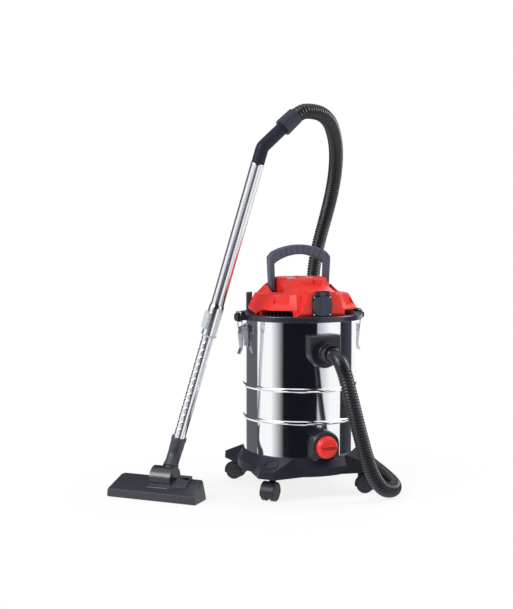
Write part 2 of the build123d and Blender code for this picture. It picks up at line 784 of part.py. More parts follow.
# Cord hooks: two upright posts with an outward lip, moulded to stand on the ring behind the cover
with BuildPart() as cord_hooks:
    for angle in (46, 134):
        with BuildSketch(radial_plane(angle, 152)):
            with Locations((0, head_floor_z + 26)):
                Rectangle(22, 52)
        extrude(amount=10)
        with BuildSketch(radial_plane(angle, 162)):
            with Locations((0, head_floor_z + 48)):
                Rectangle(22, 8)
        extrude(amount=6)
cord_hooks.part.label = "cord_hooks"
export_step(cord_hooks.part, "parts/cord_hooks.step")

with BuildPart() as cord_gland:
    with BuildSketch(front_plane(134)):
        with Locations((0, gland_z)):
            Circle(gland_radius)
    extrude(amount=20)
    with BuildSketch(front_plane(140)):
        with Locations((0, gland_z)):
            Circle(gland_radius - 2)
    extrude(amount=8)
    with BuildSketch(front_plane(150)):
        with Locations((0, gland_z)):
            Circle(3.6)
    extrude(amount=50, mode=Mode.SUBTRACT)
cord_gland.part.label = "cord_gland"
export_step(cord_gland.part, "parts/cord_gland.step")

# Tool socket on the pod: square plate with hinge block, insulating cup, sprung round lid
plate_size = 54.0
plate_depth = 4.0
plate_face_y = pod_face_y - plate_depth
cup_back_y = -136.0
hinge_z = 545.0
hinge_y = -166.5
hinge_pin_radius = 1.5
hinge_width = 34.0
hinge_gap = 18.6
lid_radius = 27.0
lid_z = socket_z - 0.2
lid_depth = 7.0
lid_back_y = plate_face_y - 0.4
screw_pitch = 45.6
screw_radius = 1.5
screw_head_radius = 2.2
with BuildPart() as socket_plate:
    with BuildSketch(front_plane(pod_face_y)):
        with Locations((socket_x, socket_z)):
            RectangleRounded(plate_size, plate_size, 5)
            Circle(socket_cup_radius + running_play, mode=Mode.SUBTRACT)
            with GridLocations(screw_pitch, screw_pitch, 2, 2):
                Circle(screw_radius, mode=Mode.SUBTRACT)
    extrude(amount=plate_depth)
    with BuildSketch(front_plane(pod_face_y)):
        with Locations((socket_x, hinge_z)):
            Rectangle(hinge_width, 14)
    extrude(amount=plate_depth)
    # Two cheeks that hold the pin, open between them for the lid's knuckle
    with BuildSketch(front_plane(pod_face_y)):
        with Locations((socket_x, hinge_z + 1.5)):
            Rectangle(hinge_width, 11)
    extrude(amount=13)
    with BuildSketch(front_plane(plate_face_y)):
        with Locations((socket_x, hinge_z)):
            Rectangle(hinge_gap, 18)
    extrude(amount=12, mode=Mode.SUBTRACT)
    with BuildSketch(Plane.YZ):
        with Locations((hinge_y, hinge_z)):
            Circle(hinge_pin_radius)
    extrude(amount=hinge_width, both=True, mode=Mode.SUBTRACT)
socket_plate.part.label = "socket_plate"
export_step(socket_plate.part, "parts/socket_plate.step")

with BuildPart() as socket_core:
    with BuildSketch(front_plane(cup_back_y)):
        with Locations((socket_x, socket_z)):
            Circle(socket_cup_radius)
    extrude(amount=cup_back_y - plate_face_y)
    with BuildSketch(front_plane(cup_back_y - 8)):
        with Locations((socket_x, socket_z)):
            Circle(socket_bore_radius)
    extrude(amount=30, mode=Mode.SUBTRACT)
    with BuildSketch(front_plane(cup_back_y - 2)):
        with Locations((socket_x - 9.5, socket_z), (socket_x + 9.5, socket_z)):
            Circle(2.5)
    extrude(amount=10, mode=Mode.SUBTRACT)
socket_core.part.label = "socket_core"
export_step(socket_core.part, "parts/socket_core.step")

with BuildPart() as socket_lid:
    with BuildSketch(front_plane(lid_back_y)):
        with Locations((socket_x, lid_z)):
            Circle(lid_radius)
        with Locations((socket_x, hinge_z - 10)):
            Rectangle(hinge_gap - 0.6, 20)
    extrude(amount=lid_depth)
    chamfer(faces().sort_by(Axis.Y)[0].edges(), 1)
    with BuildSketch(Plane.YZ.offset(socket_x)):
        with Locations((hinge_y, hinge_z)):
            Circle(4)
    extrude(amount=(hinge_gap - 0.6) / 2, both=True)
    # Raised half of the lid, right of its step line
    with BuildSketch(front_plane(lid_back_y - lid_depth)):
        with Locations((socket_x, lid_z)):
            Circle(lid_radius - 1.2)
        with Locations((socket_x - 33, lid_z)):
            Rectangle(50, 60, mode=Mode.SUBTRACT)
    extrude(amount=0.8)
    with BuildSketch(Plane.YZ):
        with Locations((hinge_y, hinge_z)):
            Circle(hinge_pin_radius + running_play)
    extrude(amount=hinge_width, both=True, mode=Mode.SUBTRACT)
socket_lid.part.label = "socket_lid"
export_step(socket_lid.part, "parts/socket_lid.step")

with BuildPart() as socket_pin:
    with BuildSketch(Plane.YZ.offset(socket_x)):
        with Locations((hinge_y, hinge_z)):
            Circle(hinge_pin_radius)
    extrude(amount=hinge_width / 2 + 1, both=True)
socket_pin.part.label = "socket_pin"
export_step(socket_pin.part, "parts/socket_pin.step")

with BuildPart() as socket_screws:
    with BuildSketch(front_plane(plate_face_y)):
        with Locations((socket_x, socket_z)):
            with GridLocations(screw_pitch, screw_pitch, 2, 2):
                Circle(screw_head_radius)
    extrude(amount=1.4)
    with BuildSketch(front_plane(pod_face_y)):
        with Locations((socket_x, socket_z)):
            with GridLocations(screw_pitch, screw_pitch, 2, 2):
                Circle(screw_radius)
    extrude(amount=plate_depth + 1)
socket_screws.part.label = "socket_screws"
export_step(socket_screws.part, "parts/socket_screws.step")

# Switch on the deck: glossy panel and a rocker resting with its left end up
rocker_pivot_z = deck_z - 5
rocker_throw = 8.0
with BuildPart() as switch_panel:
    with BuildSketch(Plane.XY.offset(deck_z - 3)):
        with Locations((switch_x, switch_y)):
            RectangleRounded(panel_length, panel_width, 3)
            Rectangle(29, 20, mode=Mode.SUBTRACT)
    extrude(amount=3.4)
switch_panel.part.label = "switch_panel"
export_step(switch_panel.part, "parts/switch_panel.step")

with BuildPart() as power_switch:
    with BuildSketch(front_plane(switch_y)):
        with Locations(Location((switch_x, rocker_pivot_z, 0), (0, 0, -rocker_throw))):
            Polygon((-13, -4), (13, -4), (13, 8.5), (0, 6), (-13, 8.5), align=None)
    extrude(amount=9, both=True)
    # Trunnions that snap into the panel's frame
    with BuildSketch(front_plane(switch_y)):
        with Locations((switch_x, rocker_pivot_z)):
            Circle(2)
    extrude(amount=10.2, both=True)
power_switch.part.label = "power_switch"
export_step(power_switch.part, "parts/power_switch.step")

# Fan and motor inside the head
fan_radius = 66.0
fan_top_z = head_floor_z + 20
shaft_radius = 4.0
with BuildPart() as fan_housing:
    with BuildSketch(Plane.XZ):
        Polygon(
            (22, head_floor_z),
            (fan_radius + 8, head_floor_z),
            (fan_radius + 8, fan_top_z),
            (9, fan_top_z),
            (9, fan_top_z - 2),
            (fan_radius + 6, fan_top_z - 2),
            (fan_radius + 6, head_floor_z + 2),
            (22, head_floor_z + 2),
            align=None,
        )
    revolve(axis=Axis.Z)
    with BuildSketch(Plane.XY.offset(head_floor_z + 5)):
        with PolarLocations(fan_radius + 7, 8):
            Rectangle(10, 24)
    extrude(amount=10, mode=Mode.SUBTRACT)
fan_housing.part.label = "fan_housing"
export_step(fan_housing.part, "parts/fan_housing.step")

fan_disc_z = head_floor_z + 4
fan_blades = 7
with BuildPart() as fan_impeller:
    with BuildSketch(Plane.XY.offset(fan_disc_z)):
        Circle(fan_radius)
    extrude(amount=1.5)
    for blade in range(fan_blades):
        with BuildSketch(Plane.XY.offset(fan_disc_z + 1)):
            with Locations(Location((0, 0, 0), (0, 0, blade * 360 / fan_blades))):
                with Locations(Location((38, 8, 0), (0, 0, 24))):
                    Rectangle(50, 1.6)
        extrude(amount=10)
    with BuildSketch(Plane.XY.offset(fan_disc_z)):
        Circle(10)
    extrude(amount=12)
    with BuildSketch(Plane.XY.offset(fan_disc_z)):
        Circle(shaft_radius)
    extrude(amount=54)
fan_impeller.part.label = "fan_impeller"
export_step(fan_impeller.part, "parts/fan_impeller.step")

with BuildPart() as motor_body:
    with BuildSketch(Plane.XY.offset(motor_foot_z)):
        Circle(motor_radius)
        with PolarLocations(motor_radius, 12):
            Rectangle(10, 9, mode=Mode.SUBTRACT)
    extrude(amount=motor_height)
    with BuildSketch(Plane.XY.offset(fan_top_z)):
        Circle(shaft_radius + running_play)
    extrude(amount=40, mode=Mode.SUBTRACT)
motor_body.part.label = "motor_body"
export_step(motor_body.part, "parts/motor_body.step")

with BuildPart() as motor_mount:
    with BuildSketch(Plane.XY.offset(motor_foot_z + motor_height)):
        Circle(34)
        Circle(20, mode=Mode.SUBTRACT)
    extrude(amount=mount_top_z - motor_foot_z - motor_height)
motor_mount.part.label = "motor_mount"
export_step(motor_mount.part, "parts/motor_mount.step")

# Filter under the head: slotted cage with a float ball, pleated cartridge, retaining knob
cage_radius = 46.0
cage_floor_z = 392.0
float_radius = 24.0
float_seat_radius = 14.0
with BuildPart() as filter_cage:
    with BuildSketch(Plane.XZ):
        Polygon(
            (0, cage_floor_z),
            (cage_radius, cage_floor_z),
            (cage_radius, ring_floor_z - 3),
            (60, ring_floor_z - 3),
            (60, ring_floor_z),
            (float_seat_radius, ring_floor_z),
            (float_seat_radius, ring_floor_z - 3),
            (cage_radius - 2.5, ring_floor_z - 3),
            (cage_radius - 2.5, cage_floor_z + 3),
            (0, cage_floor_z + 3),
            align=None,
        )
    revolve(axis=Axis.Z)
    with BuildSketch(Plane.XY.offset(cage_floor_z + 12)):
        with PolarLocations(cage_radius, 8):
            Rectangle(12, 22)
    extrude(amount=60, mode=Mode.SUBTRACT)
filter_cage.part.label = "filter_cage"
export_step(filter_cage.part, "parts/filter_cage.step")

with BuildPart() as float_ball:
    with Locations((0, 0, cage_floor_z + 3 + body_gap + float_radius)):
        Sphere(float_radius)
float_ball.part.label = "float_ball"
export_step(float_ball.part, "parts/float_ball.step")

pleats = 28
pleat_radius = 80.0
pleat_depth = 14.0
with BuildPart() as filter_cartridge:
    with BuildSketch(Plane.XY.offset(cage_floor_z + 4)):
        folds = []
        for fold in range(2 * pleats):
            reach = pleat_radius if fold % 2 else pleat_radius - pleat_depth
            turn = math.radians(fold * 180 / pleats)
            folds.append((reach * math.cos(turn), reach * math.sin(turn)))
        Polygon(*folds, align=None)
        Circle(cage_radius + 1, mode=Mode.SUBTRACT)
    extrude(amount=80)
filter_cartridge.part.label = "filter_cartridge"
export_step(filter_cartridge.part, "parts/filter_cartridge.step")

with BuildPart() as filter_retainer:
    with BuildSketch(Plane.XY.offset(cage_floor_z - 4)):
        Circle(pleat_radius)
    extrude(amount=3.8)
    with BuildSketch(Plane.XY.offset(cage_floor_z - 20)):
        Circle(14)
        with PolarLocations(14, 3):
            Circle(7)
    extrude(amount=17)
filter_retainer.part.label = "filter_retainer"
export_step(filter_retainer.part, "parts/filter_retainer.step")

# Telescopic tube, measured along its axis from the nozzle sleeve's mouth
tube_span = tube_top - tube_foot
tube_length = tube_span.length
tube_dir = tube_span.normalized()
button_side = Vector(-0.956, -0.293, 0)
button_side = (button_side - tube_dir * button_side.dot(tube_dir)).normalized()
tube_axis = Axis(tube_foot, tube_dir)
tube_section = Plane(origin=tube_foot, x_dir=button_side, z_dir=button_side.cross(tube_dir))


def along_tube(distance):
    """Point on the tube's axis at a distance from the sleeve's mouth."""
    return tube_foot + tube_dir * distance


def across_tube(distance):
    """Plane square to the tube, its X axis towards the lock button."""
    return Plane(origin=along_tube(distance), x_dir=button_side, z_dir=tube_dir)


flare_radius = 20.0
flare_end = tube_lock_length + 76
with BuildPart() as upper_tube:
    with BuildSketch(tube_section):
        Polygon(
            (tube_fit_radius, tube_lock_length),
            (flare_radius, tube_lock_length),
            (flare_radius, flare_end),
            (tube_radius, flare_end + 8),
            (tube_radius, tube_length),
            (tube_fit_radius, tube_length),
            align=None,
        )
    revolve(axis=tube_axis)
upper_tube.part.label = "upper_tube"
export_step(upper_tube.part, "parts/upper_tube.step")

with BuildPart() as lock_collar:
    with BuildSketch(across_tube(tube_lock_length - 4)):
        Circle(flare_radius + 1.6)
        Circle(tube_fit_radius, mode=Mode.SUBTRACT)
    extrude(amount=4)
lock_collar.part.label = "lock_collar"
export_step(lock_collar.part, "parts/lock_collar.step")

button_length = 46.0
with BuildPart() as lock_button:
    with BuildSketch(across_tube(tube_lock_length + 16)):
        with Locations((flare_radius + 1, 0)):
            Rectangle(12, 21)
        Circle(flare_radius + body_gap, mode=Mode.SUBTRACT)
    extrude(amount=button_length)
    long_edges = edges().filter_by(lambda e: abs(e.length - button_length) < 0.01)
    chamfer(long_edges.group_by(Axis(tube_foot, button_side))[-1], 2)
lock_button.part.label = "lock_button"
export_step(lock_button.part, "parts/lock_button.step")

lower_radius = tube_fit_radius - running_play
lower_start = -40.0
lower_end = tube_lock_length + 120
with BuildPart() as lower_tube:
    with BuildSketch(across_tube(lower_start)):
        Circle(lower_radius)
        Circle(lower_radius - 2.2, mode=Mode.SUBTRACT)
    extrude(amount=lower_end - lower_start)
    # Detent notches under the lock button's side
    for notch in range(detent_count):
        with BuildSketch(across_tube(24 + notch * detent_pitch)):
            with Locations((lower_radius, 0)):
                Rectangle(2.4, 18)
        extrude(amount=5, mode=Mode.SUBTRACT)
lower_tube.part.label = "lower_tube"
export_step(lower_tube.part, "parts/lower_tube.step")

# Bent handle: spigot in the tube, a tight bend, and the cuff that holds the hose's upper end
handle_corner = tube_top + tube_dir * 43
handle_dir = Vector(0.743, 0.048, 0.668).normalized()
spigot_length = 34.0
handle_seat = tube_top + tube_dir * body_gap
handle_radius = 16.9
handle_bore_radius = 13.0
handle_bend = 20.0
cuff_foot = handle_corner + handle_dir * 76
cuff_start = handle_corner + handle_dir * 92
cuff_end = handle_corner + handle_dir * 125.5
cuff_foot_radius = 23.5
cuff_mouth_radius = 22.2
with BuildPart() as bent_handle:
    with BuildLine():
        FilletPolyline(handle_seat, handle_corner, cuff_start - handle_dir * body_gap, radius=handle_bend)
    with BuildSketch(Plane(origin=handle_seat, z_dir=tube_dir)):
        Circle(handle_radius)
        Circle(handle_bore_radius, mode=Mode.SUBTRACT)
    sweep()
    with BuildSketch(Plane(origin=handle_seat, z_dir=tube_dir)):
        Circle(tube_fit_radius - running_play)
        Circle(handle_bore_radius, mode=Mode.SUBTRACT)
    extrude(amount=-spigot_length)
bent_handle.part.label = "bent_handle"
export_step(bent_handle.part, "parts/bent_handle.step")

cuff_length = (cuff_end - cuff_foot).length
cuff_square = Plane(origin=cuff_foot, z_dir=handle_dir)
with BuildPart() as handle_cuff:
    with BuildSketch(cuff_square):
        Circle(cuff_foot_radius)
    with BuildSketch(cuff_square.offset(cuff_length)):
        Circle(cuff_mouth_radius)
    loft()
    chamfer(edges().filter_by(GeomType.CIRCLE), 1)
    with BuildSketch(cuff_square):
        Circle(handle_radius + wall_seat)
    extrude(amount=cuff_length, mode=Mode.SUBTRACT)
    with BuildSketch(Plane(origin=cuff_start, z_dir=handle_dir)):
        Circle(hose_radius + hose_fit)
    extrude(amount=cuff_length, mode=Mode.SUBTRACT)
    # Sight hole of the bayonet near the hose's end
    hole_side = handle_dir.cross(Vector(-0.338, -0.9385, 0)).cross(handle_dir).normalized()
    with BuildSketch(Plane(origin=cuff_end - handle_dir * 9, z_dir=hole_side)):
        Circle(1.6)
    extrude(amount=2 * cuff_foot_radius, mode=Mode.SUBTRACT)
handle_cuff.part.label = "hose_cuff_handle"
export_step(handle_cuff.part, "parts/hose_cuff_handle.step")

# Hose: from the inlet forwards and down, back over the floor, up behind the drum to the handle
hose_route = [
    Vector(0, hose_start_y, inlet_z),
    Vector(0, -241, inlet_z),
    Vector(4, -266, 377),
    Vector(12, -277, 346),
    Vector(24, -279, 298),
    Vector(42, -274, 240),
    Vector(62, -265, 180),
    Vector(86, -254, 116),
    Vector(112, -248, 62),
    Vector(142, -240, 28),
    Vector(180, -220, 20),
    Vector(207, -178, 20),
    Vector(224, -118, 20),
    Vector(239, -50, 20),
    Vector(253, 20, 20),
    Vector(258, 88, 26),
    Vector(250, 148, 50),
    Vector(234, 194, 96),
    Vector(214, 220, 158),
    Vector(191, 232, 228),
    Vector(169, 236, 306),
    Vector(149, 232, 388),
    Vector(133, 222, 470),
    Vector(125, 209, 550),
    Vector(128, 196, 628),
    Vector(138, 176, 700),
    Vector(146, 148, 766),
    Vector(144, 107, 828),
    Vector(133, 60, 887),
    Vector(111, 8, 940),
    Vector(81, -42, 976),
    Vector(50, -86, 1001),
    Vector(12, -120, 1018),
    Vector(-28, -141, 1021),
    cuff_end + handle_dir * 17,
    cuff_start + handle_dir * 0.5,
]
hose_radii = []
for before, corner, after in zip(hose_route, hose_route[1:], hose_route[2:]):
    turn = math.radians((corner - before).get_angle(after - corner))
    shorter = min((corner - before).length, (after - corner).length)
    hose_radii.append(0.45 * shorter / math.tan(turn / 2))
print("hose bend radii", [round(radius) for radius in hose_radii])
with BuildLine() as hose_line:
    FilletPolyline(*hose_route, radius=hose_radii)
hose_path = hose_line.wires()[0]
hose_length = hose_path.length
print("hose length", round(hose_length))


def hose_sections(stations):
    """Circles across the hose at (distance, radius) stations, on a steady X axis."""
    steady = Vector(1, 0, 0)
    rings = []
    for distance, radius in stations:
        share = distance / hose_length
        heading = (hose_path % share).normalized()
        steady = (steady - heading * steady.dot(heading)).normalized()
        with BuildSketch(Plane(origin=hose_path @ share, x_dir=steady, z_dir=heading)) as ring:
            Circle(radius)
        rings.append(ring.sketch)
    return rings


rib_pitch = hose_length / hose_ribs
rib_shape = (
    (0.0, hose_valley_radius), (0.2, hose_radius), (0.55, hose_radius), (0.75, hose_valley_radius)
)
outside = [
    (rib_pitch * (rib + share), radius) for rib in range(hose_ribs) for share, radius in rib_shape
]
outside.append((hose_length, hose_valley_radius))
inside = [(rib_pitch * rib, hose_bore_radius) for rib in range(hose_ribs + 1)]
with BuildPart() as hose:
    loft(hose_sections(outside), ruled=True)
    loft(hose_sections(inside), ruled=True, mode=Mode.SUBTRACT)
mean_radius = (hose_radius + hose_valley_radius) / 2
plain_volume = math.pi * (mean_radius**2 - hose_bore_radius**2) * hose_length
print("hose volume", round(hose.part.volume), "section times length", round(plain_volume))
hose.part.label = "hose"
export_step(hose.part, "parts/hose.step")

# Floor nozzle. Two working planes: side profile (back, up) and plan (along, back)
nozzle_side = Plane(origin=nozzle_front, x_dir=nozzle_back, z_dir=nozzle_along)
nozzle_plan = Plane(origin=nozzle_front, x_dir=nozzle_along, z_dir=(0, 0, 1))
lean = math.radians(stub_lean)
stub_dir = nozzle_back * math.sin(lean) + Vector(0, 0, math.cos(lean))
neck_corner = tube_foot - tube_dir * ((tube_foot.Z - elbow_z) / tube_dir.Z)
barrel_centre = neck_corner - stub_dir * stub_reach
barrel_offset = barrel_centre - nozzle_front
barrel_back = barrel_offset.dot(nozzle_back)
barrel_along = barrel_offset.dot(nozzle_along)
barrel_z = barrel_centre.Z
barrel_half = 21.0
trunnion_reach = 3.0
trunnion_radius = 6.0
stub_radius = 15.4
stub_flange_radius = 18.6
stub_flange_end = 31.0
print("barrel centre", barrel_centre, "back", round(barrel_back, 2), "along", round(barrel_along, 2))
print("tube direction", tube_dir, "button side", button_side, "stub direction", stub_dir)


def across_stub(distance):
    """Plane square to the stub at a distance from the tilt axis."""
    return Plane(origin=barrel_centre + stub_dir * distance, x_dir=nozzle_along, z_dir=stub_dir)


def nozzle_slice(offset):
    """Side plane of the nozzle moved along it to the barrel's middle plus an offset."""
    return nozzle_side.offset(barrel_along + offset)


# Neck: sleeve on the lower tube, a bend, and the collar that turns on the barrel's stub
neck_end = stub_flange_end + body_gap
collar_length = 12.0
sleeve_depth = 38.0
with BuildPart() as nozzle_neck:
    with BuildLine():
        FilletPolyline(
            along_tube(-30), neck_corner, barrel_centre + stub_dir * neck_end, radius=36
        )
    with BuildSketch(Plane(origin=along_tube(-30), z_dir=-tube_dir)):
        Circle(18.4)
    sweep()
    with BuildSketch(tube_section):
        Polygon(
            (0, -sleeve_depth), (19, -sleeve_depth), (19.4, -12), (20.4, -10), (20.4, 0), (0, 0), align=None
        )
    revolve(axis=tube_axis)
    with BuildSketch(across_stub(neck_end)):
        Circle(21)
    extrude(amount=collar_length, taper=4)
    with BuildSketch(across_tube(lower_start - 0.2)):
        Circle(tube_fit_radius)
    extrude(amount=60, mode=Mode.SUBTRACT)
    with BuildSketch(across_stub(neck_end - 5)):
        Circle(stub_radius + running_play)
    extrude(amount=24, mode=Mode.SUBTRACT)
    with BuildSketch(across_stub(neck_end)):
        Circle(airway_radius)
    extrude(amount=stub_reach - neck_end, mode=Mode.SUBTRACT)
    with BuildSketch(across_tube(0)):
        Circle(airway_radius)
    extrude(amount=-(neck_corner - tube_foot).length, mode=Mode.SUBTRACT)
nozzle_neck.part.label = "nozzle_neck"
export_step(nozzle_neck.part, "parts/nozzle_neck.step")

# Tilt barrel: lies across the nozzle on two trunnions, its stub points up into the neck
with BuildPart() as tilt_barrel:
    with BuildSketch(nozzle_slice(0)):
        with Locations((barrel_back, barrel_z)):
            Circle(barrel_radius)
    extrude(amount=barrel_half, both=True)
    with BuildSketch(nozzle_slice(0)):
        with Locations((barrel_back, barrel_z)):
            Circle(trunnion_radius)
    extrude(amount=barrel_half + trunnion_reach, both=True)
    with BuildSketch(across_stub(10)):
        Circle(stub_flange_radius)
    extrude(amount=stub_flange_end - 10)
    with BuildSketch(across_stub(20)):
        Circle(stub_radius)
    extrude(amount=30)
    with BuildSketch(across_stub(-8)):
        Circle(airway_radius)
    extrude(amount=70, mode=Mode.SUBTRACT)
    # Air way down into the nozzle's throat
    with BuildSketch(nozzle_slice(0)):
        with Locations((barrel_back, barrel_z - 16)):
            Rectangle(30, 32)
    extrude(amount=18, both=True, mode=Mode.SUBTRACT)
tilt_barrel.part.label = "tilt_barrel"
export_step(tilt_barrel.part, "parts/tilt_barrel.step")

# Cover: sloping top, cut rear corners, round housing over the barrel, open to the rear for the stub
sole_top_z = 3.0
cover_half = nozzle_length / 2
cover_depth = 100.0
slope_front = (3.0, 23.0)
slope_rear = (72.0, 50.5)
rear_lip_z = 14.0
corner_cut = 34.0
housing_radius = 33.0
housing_start = -37.0
housing_end = 25.0
apron_back = 22.0
pedal_along = 67.0
pedal_half = 20.0
pedal_pivot = (36.0, 31.0)
pedal_lean = 29.5
pedal_pocket = (28.0, 82.0)
roller_along = 70.0
roller_back = 88.0
roller_radius = 8.0
roller_half_width = 7.0
brush_back = 11.0
brush_slot = (212.0, 7.0)
suction_back = 36.0
slope_rise = (slope_rear[1] - slope_front[1]) / (slope_rear[0] - slope_front[0])
apron_z = slope_front[1] + slope_rise * (apron_back - slope_front[0])
with BuildPart() as nozzle_cover:
    with BuildSketch(nozzle_side):
        Polygon(
            (0, sole_top_z), (0, slope_front[1] - 3), slope_front, slope_rear, (cover_depth, rear_lip_z),
            (cover_depth, sole_top_z), align=None,
        )
    extrude(amount=cover_half, both=True)
    with BuildSketch(nozzle_plan):
        for side in (1, -1):
            Polygon(
                (side * cover_half, cover_depth - corner_cut),
                (side * cover_half, cover_depth),
                (side * (cover_half - corner_cut), cover_depth),
                align=None,
            )
    extrude(amount=slope_rear[1] + 1, mode=Mode.SUBTRACT)
    # Round housing, its apron running down tangent to the slope in front
    with BuildSketch(nozzle_slice(housing_start)):
        with Locations((barrel_back, barrel_z)):
            Circle(housing_radius)
        span = math.hypot(barrel_back - apron_back, barrel_z - apron_z)
        rise = math.atan2(barrel_z - apron_z, barrel_back - apron_back)
        touch = rise + math.asin(housing_radius / span)
        apron_run = math.sqrt(span**2 - housing_radius**2)
        apron_top = (apron_back + apron_run * math.cos(touch), apron_z + apron_run * math.sin(touch))
        apron_foot = (apron_back, apron_z)
        Polygon((apron_back, apron_z - 2), apron_foot, apron_top, (barrel_back, barrel_z), align=None)
    extrude(amount=housing_end - housing_start)
    with BuildSketch(nozzle_slice(0)):
        with Locations((barrel_back, barrel_z)):
            Circle(barrel_radius + 0.4)
    extrude(amount=barrel_half + body_gap, both=True, mode=Mode.SUBTRACT)
    with BuildSketch(nozzle_slice(0)):
        with Locations((barrel_back, barrel_z)):
            Circle(trunnion_radius + running_play)
    extrude(amount=barrel_half + trunnion_reach + body_gap, both=True, mode=Mode.SUBTRACT)
    # Swing room for the stub, from a little forward of upright round to the rear
    swing = []
    for swing_angle in (-14, 30, 75, 128):
        reach = math.radians(swing_angle)
        swing.append((barrel_back + 90 * math.sin(reach), barrel_z + 90 * math.cos(reach)))
    with BuildSketch(nozzle_slice(0)):
        Polygon((barrel_back, barrel_z), *swing, align=None)
    extrude(amount=21.5, both=True, mode=Mode.SUBTRACT)
    # Throat under the barrel and the suction channel over the sole
    with BuildSketch(nozzle_slice(0)):
        with Locations((barrel_back - 14, 16)):
            Rectangle(44, 30)
    extrude(amount=20, both=True, mode=Mode.SUBTRACT)
    with BuildSketch(nozzle_plan.offset(sole_top_z)):
        with Locations((0, suction_back)):
            Rectangle(220, 32)
        with Locations((0, brush_back)):
            Rectangle(*brush_slot)
    extrude(amount=14, mode=Mode.SUBTRACT)
    # Pedal pocket and its pin holes
    with BuildSketch(nozzle_plan.offset(22)):
        with Locations((pedal_along, sum(pedal_pocket) / 2)):
            Rectangle(2 * pedal_half + 1, pedal_pocket[1] - pedal_pocket[0])
    extrude(amount=60, mode=Mode.SUBTRACT)
    with BuildSketch(nozzle_side.offset(pedal_along)):
        with Locations(pedal_pivot):
            Circle(nozzle_axle_radius + running_play)
    extrude(amount=pedal_half + 3.5, both=True, mode=Mode.SUBTRACT)
    # Roller pockets and the hole for their axle
    with BuildSketch(nozzle_plan):
        with Locations((roller_along, roller_back), (-roller_along, roller_back)):
            Rectangle(2 * roller_half_width + 3, 20)
    extrude(amount=19, mode=Mode.SUBTRACT)
    with BuildSketch(nozzle_side):
        with Locations((roller_back, roller_radius)):
            Circle(nozzle_axle_radius + running_play)
    extrude(amount=roller_along + 14, both=True, mode=Mode.SUBTRACT)
nozzle_cover.part.label = "nozzle_cover"
export_step(nozzle_cover.part, "parts/nozzle_cover.step")

sole_half = cover_half - 1
with BuildPart() as sole_plate:
    with BuildSketch(nozzle_plan):
        Polygon(
            (-sole_half, 1),
            (sole_half, 1),
            (sole_half, cover_depth - corner_cut + 1),
            (cover_half - corner_cut + 1, cover_depth - 1),
            (corner_cut - cover_half - 1, cover_depth - 1),
            (-sole_half, cover_depth - corner_cut + 1),
            align=None,
        )
        with Locations((0, suction_back)):
            Rectangle(200, 24, mode=Mode.SUBTRACT)
        with Locations((0, brush_back)):
            Rectangle(*brush_slot, mode=Mode.SUBTRACT)
        with Locations((roller_along, roller_back), (-roller_along, roller_back)):
            Rectangle(2 * roller_half_width + 3, 20, mode=Mode.SUBTRACT)
    extrude(amount=sole_top_z)
sole_plate.part.label = "sole_plate"
export_step(sole_plate.part, "parts/sole_plate.step")

# Pedal: a broad tread over the slope, pivoted near its front edge
tread_front = (30.5, 35.0)
with BuildPart() as nozzle_pedal:
    with BuildSketch(nozzle_side.offset(pedal_along)):
        Polygon((30, 31), tread_front, (72, 58.5), (75, 55), (74, 48), (42, 28), (34, 27), align=None)
    extrude(amount=pedal_half, both=True)
    # Cross grooves of the tread
    for rung in range(5):
        step = 9 + 7 * rung
        rung_back = tread_front[0] + step * math.cos(math.radians(pedal_lean))
        rung_z = tread_front[1] + step * math.sin(math.radians(pedal_lean))
        with BuildSketch(nozzle_side.offset(pedal_along)):
            with Locations(Location((rung_back, rung_z, 0), (0, 0, pedal_lean))):
                Rectangle(2.2, 2.4)
        extrude(amount=pedal_half - 3, both=True, mode=Mode.SUBTRACT)
    with BuildSketch(nozzle_side.offset(pedal_along)):
        with Locations(pedal_pivot):
            Circle(nozzle_axle_radius)
    extrude(amount=pedal_half + 3, both=True)
nozzle_pedal.part.label = "nozzle_pedal"
export_step(nozzle_pedal.part, "parts/nozzle_pedal.step")

with BuildPart() as brush_strip:
    with BuildSketch(nozzle_plan.offset(sole_top_z + 1)):
        with Locations((0, brush_back)):
            Rectangle(brush_slot[0] - 2, brush_slot[1] - 1.4)
    extrude(amount=12)
brush_strip.part.label = "brush_strip"
export_step(brush_strip.part, "parts/brush_strip.step")

with BuildPart() as nozzle_rollers:
    for place in (roller_along, -roller_along):
        with BuildSketch(nozzle_side.offset(place)):
            with Locations((roller_back, roller_radius)):
                Circle(roller_radius)
        extrude(amount=roller_half_width, both=True)
    with BuildSketch(nozzle_side):
        with Locations((roller_back, roller_radius)):
            Circle(nozzle_axle_radius)
    extrude(amount=roller_along + 12, both=True)
nozzle_rollers.part.label = "nozzle_rollers"
export_step(nozzle_rollers.part, "parts/nozzle_rollers.step")
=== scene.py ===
import bpy
import math
from mathutils import Matrix, Vector


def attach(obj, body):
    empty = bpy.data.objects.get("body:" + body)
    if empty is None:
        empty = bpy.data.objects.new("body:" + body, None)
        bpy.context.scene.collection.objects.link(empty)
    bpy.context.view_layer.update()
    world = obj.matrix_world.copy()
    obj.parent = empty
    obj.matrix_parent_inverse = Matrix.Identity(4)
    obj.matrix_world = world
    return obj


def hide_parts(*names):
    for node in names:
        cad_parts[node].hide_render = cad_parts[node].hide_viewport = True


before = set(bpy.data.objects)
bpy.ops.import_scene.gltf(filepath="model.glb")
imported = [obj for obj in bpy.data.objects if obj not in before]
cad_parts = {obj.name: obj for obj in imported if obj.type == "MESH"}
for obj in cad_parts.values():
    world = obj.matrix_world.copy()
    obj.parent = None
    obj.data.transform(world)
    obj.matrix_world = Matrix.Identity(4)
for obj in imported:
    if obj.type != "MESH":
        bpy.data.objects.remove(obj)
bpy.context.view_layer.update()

# Studio: a white floor under an even white surround, as a product picture is taken.
# Four soft lamps light the machine. Cloths far round it, seen only in reflections, give the
# polished drum one wide dark band between two white ones.
scene = bpy.context.scene
scene.view_settings.view_transform = "Standard"


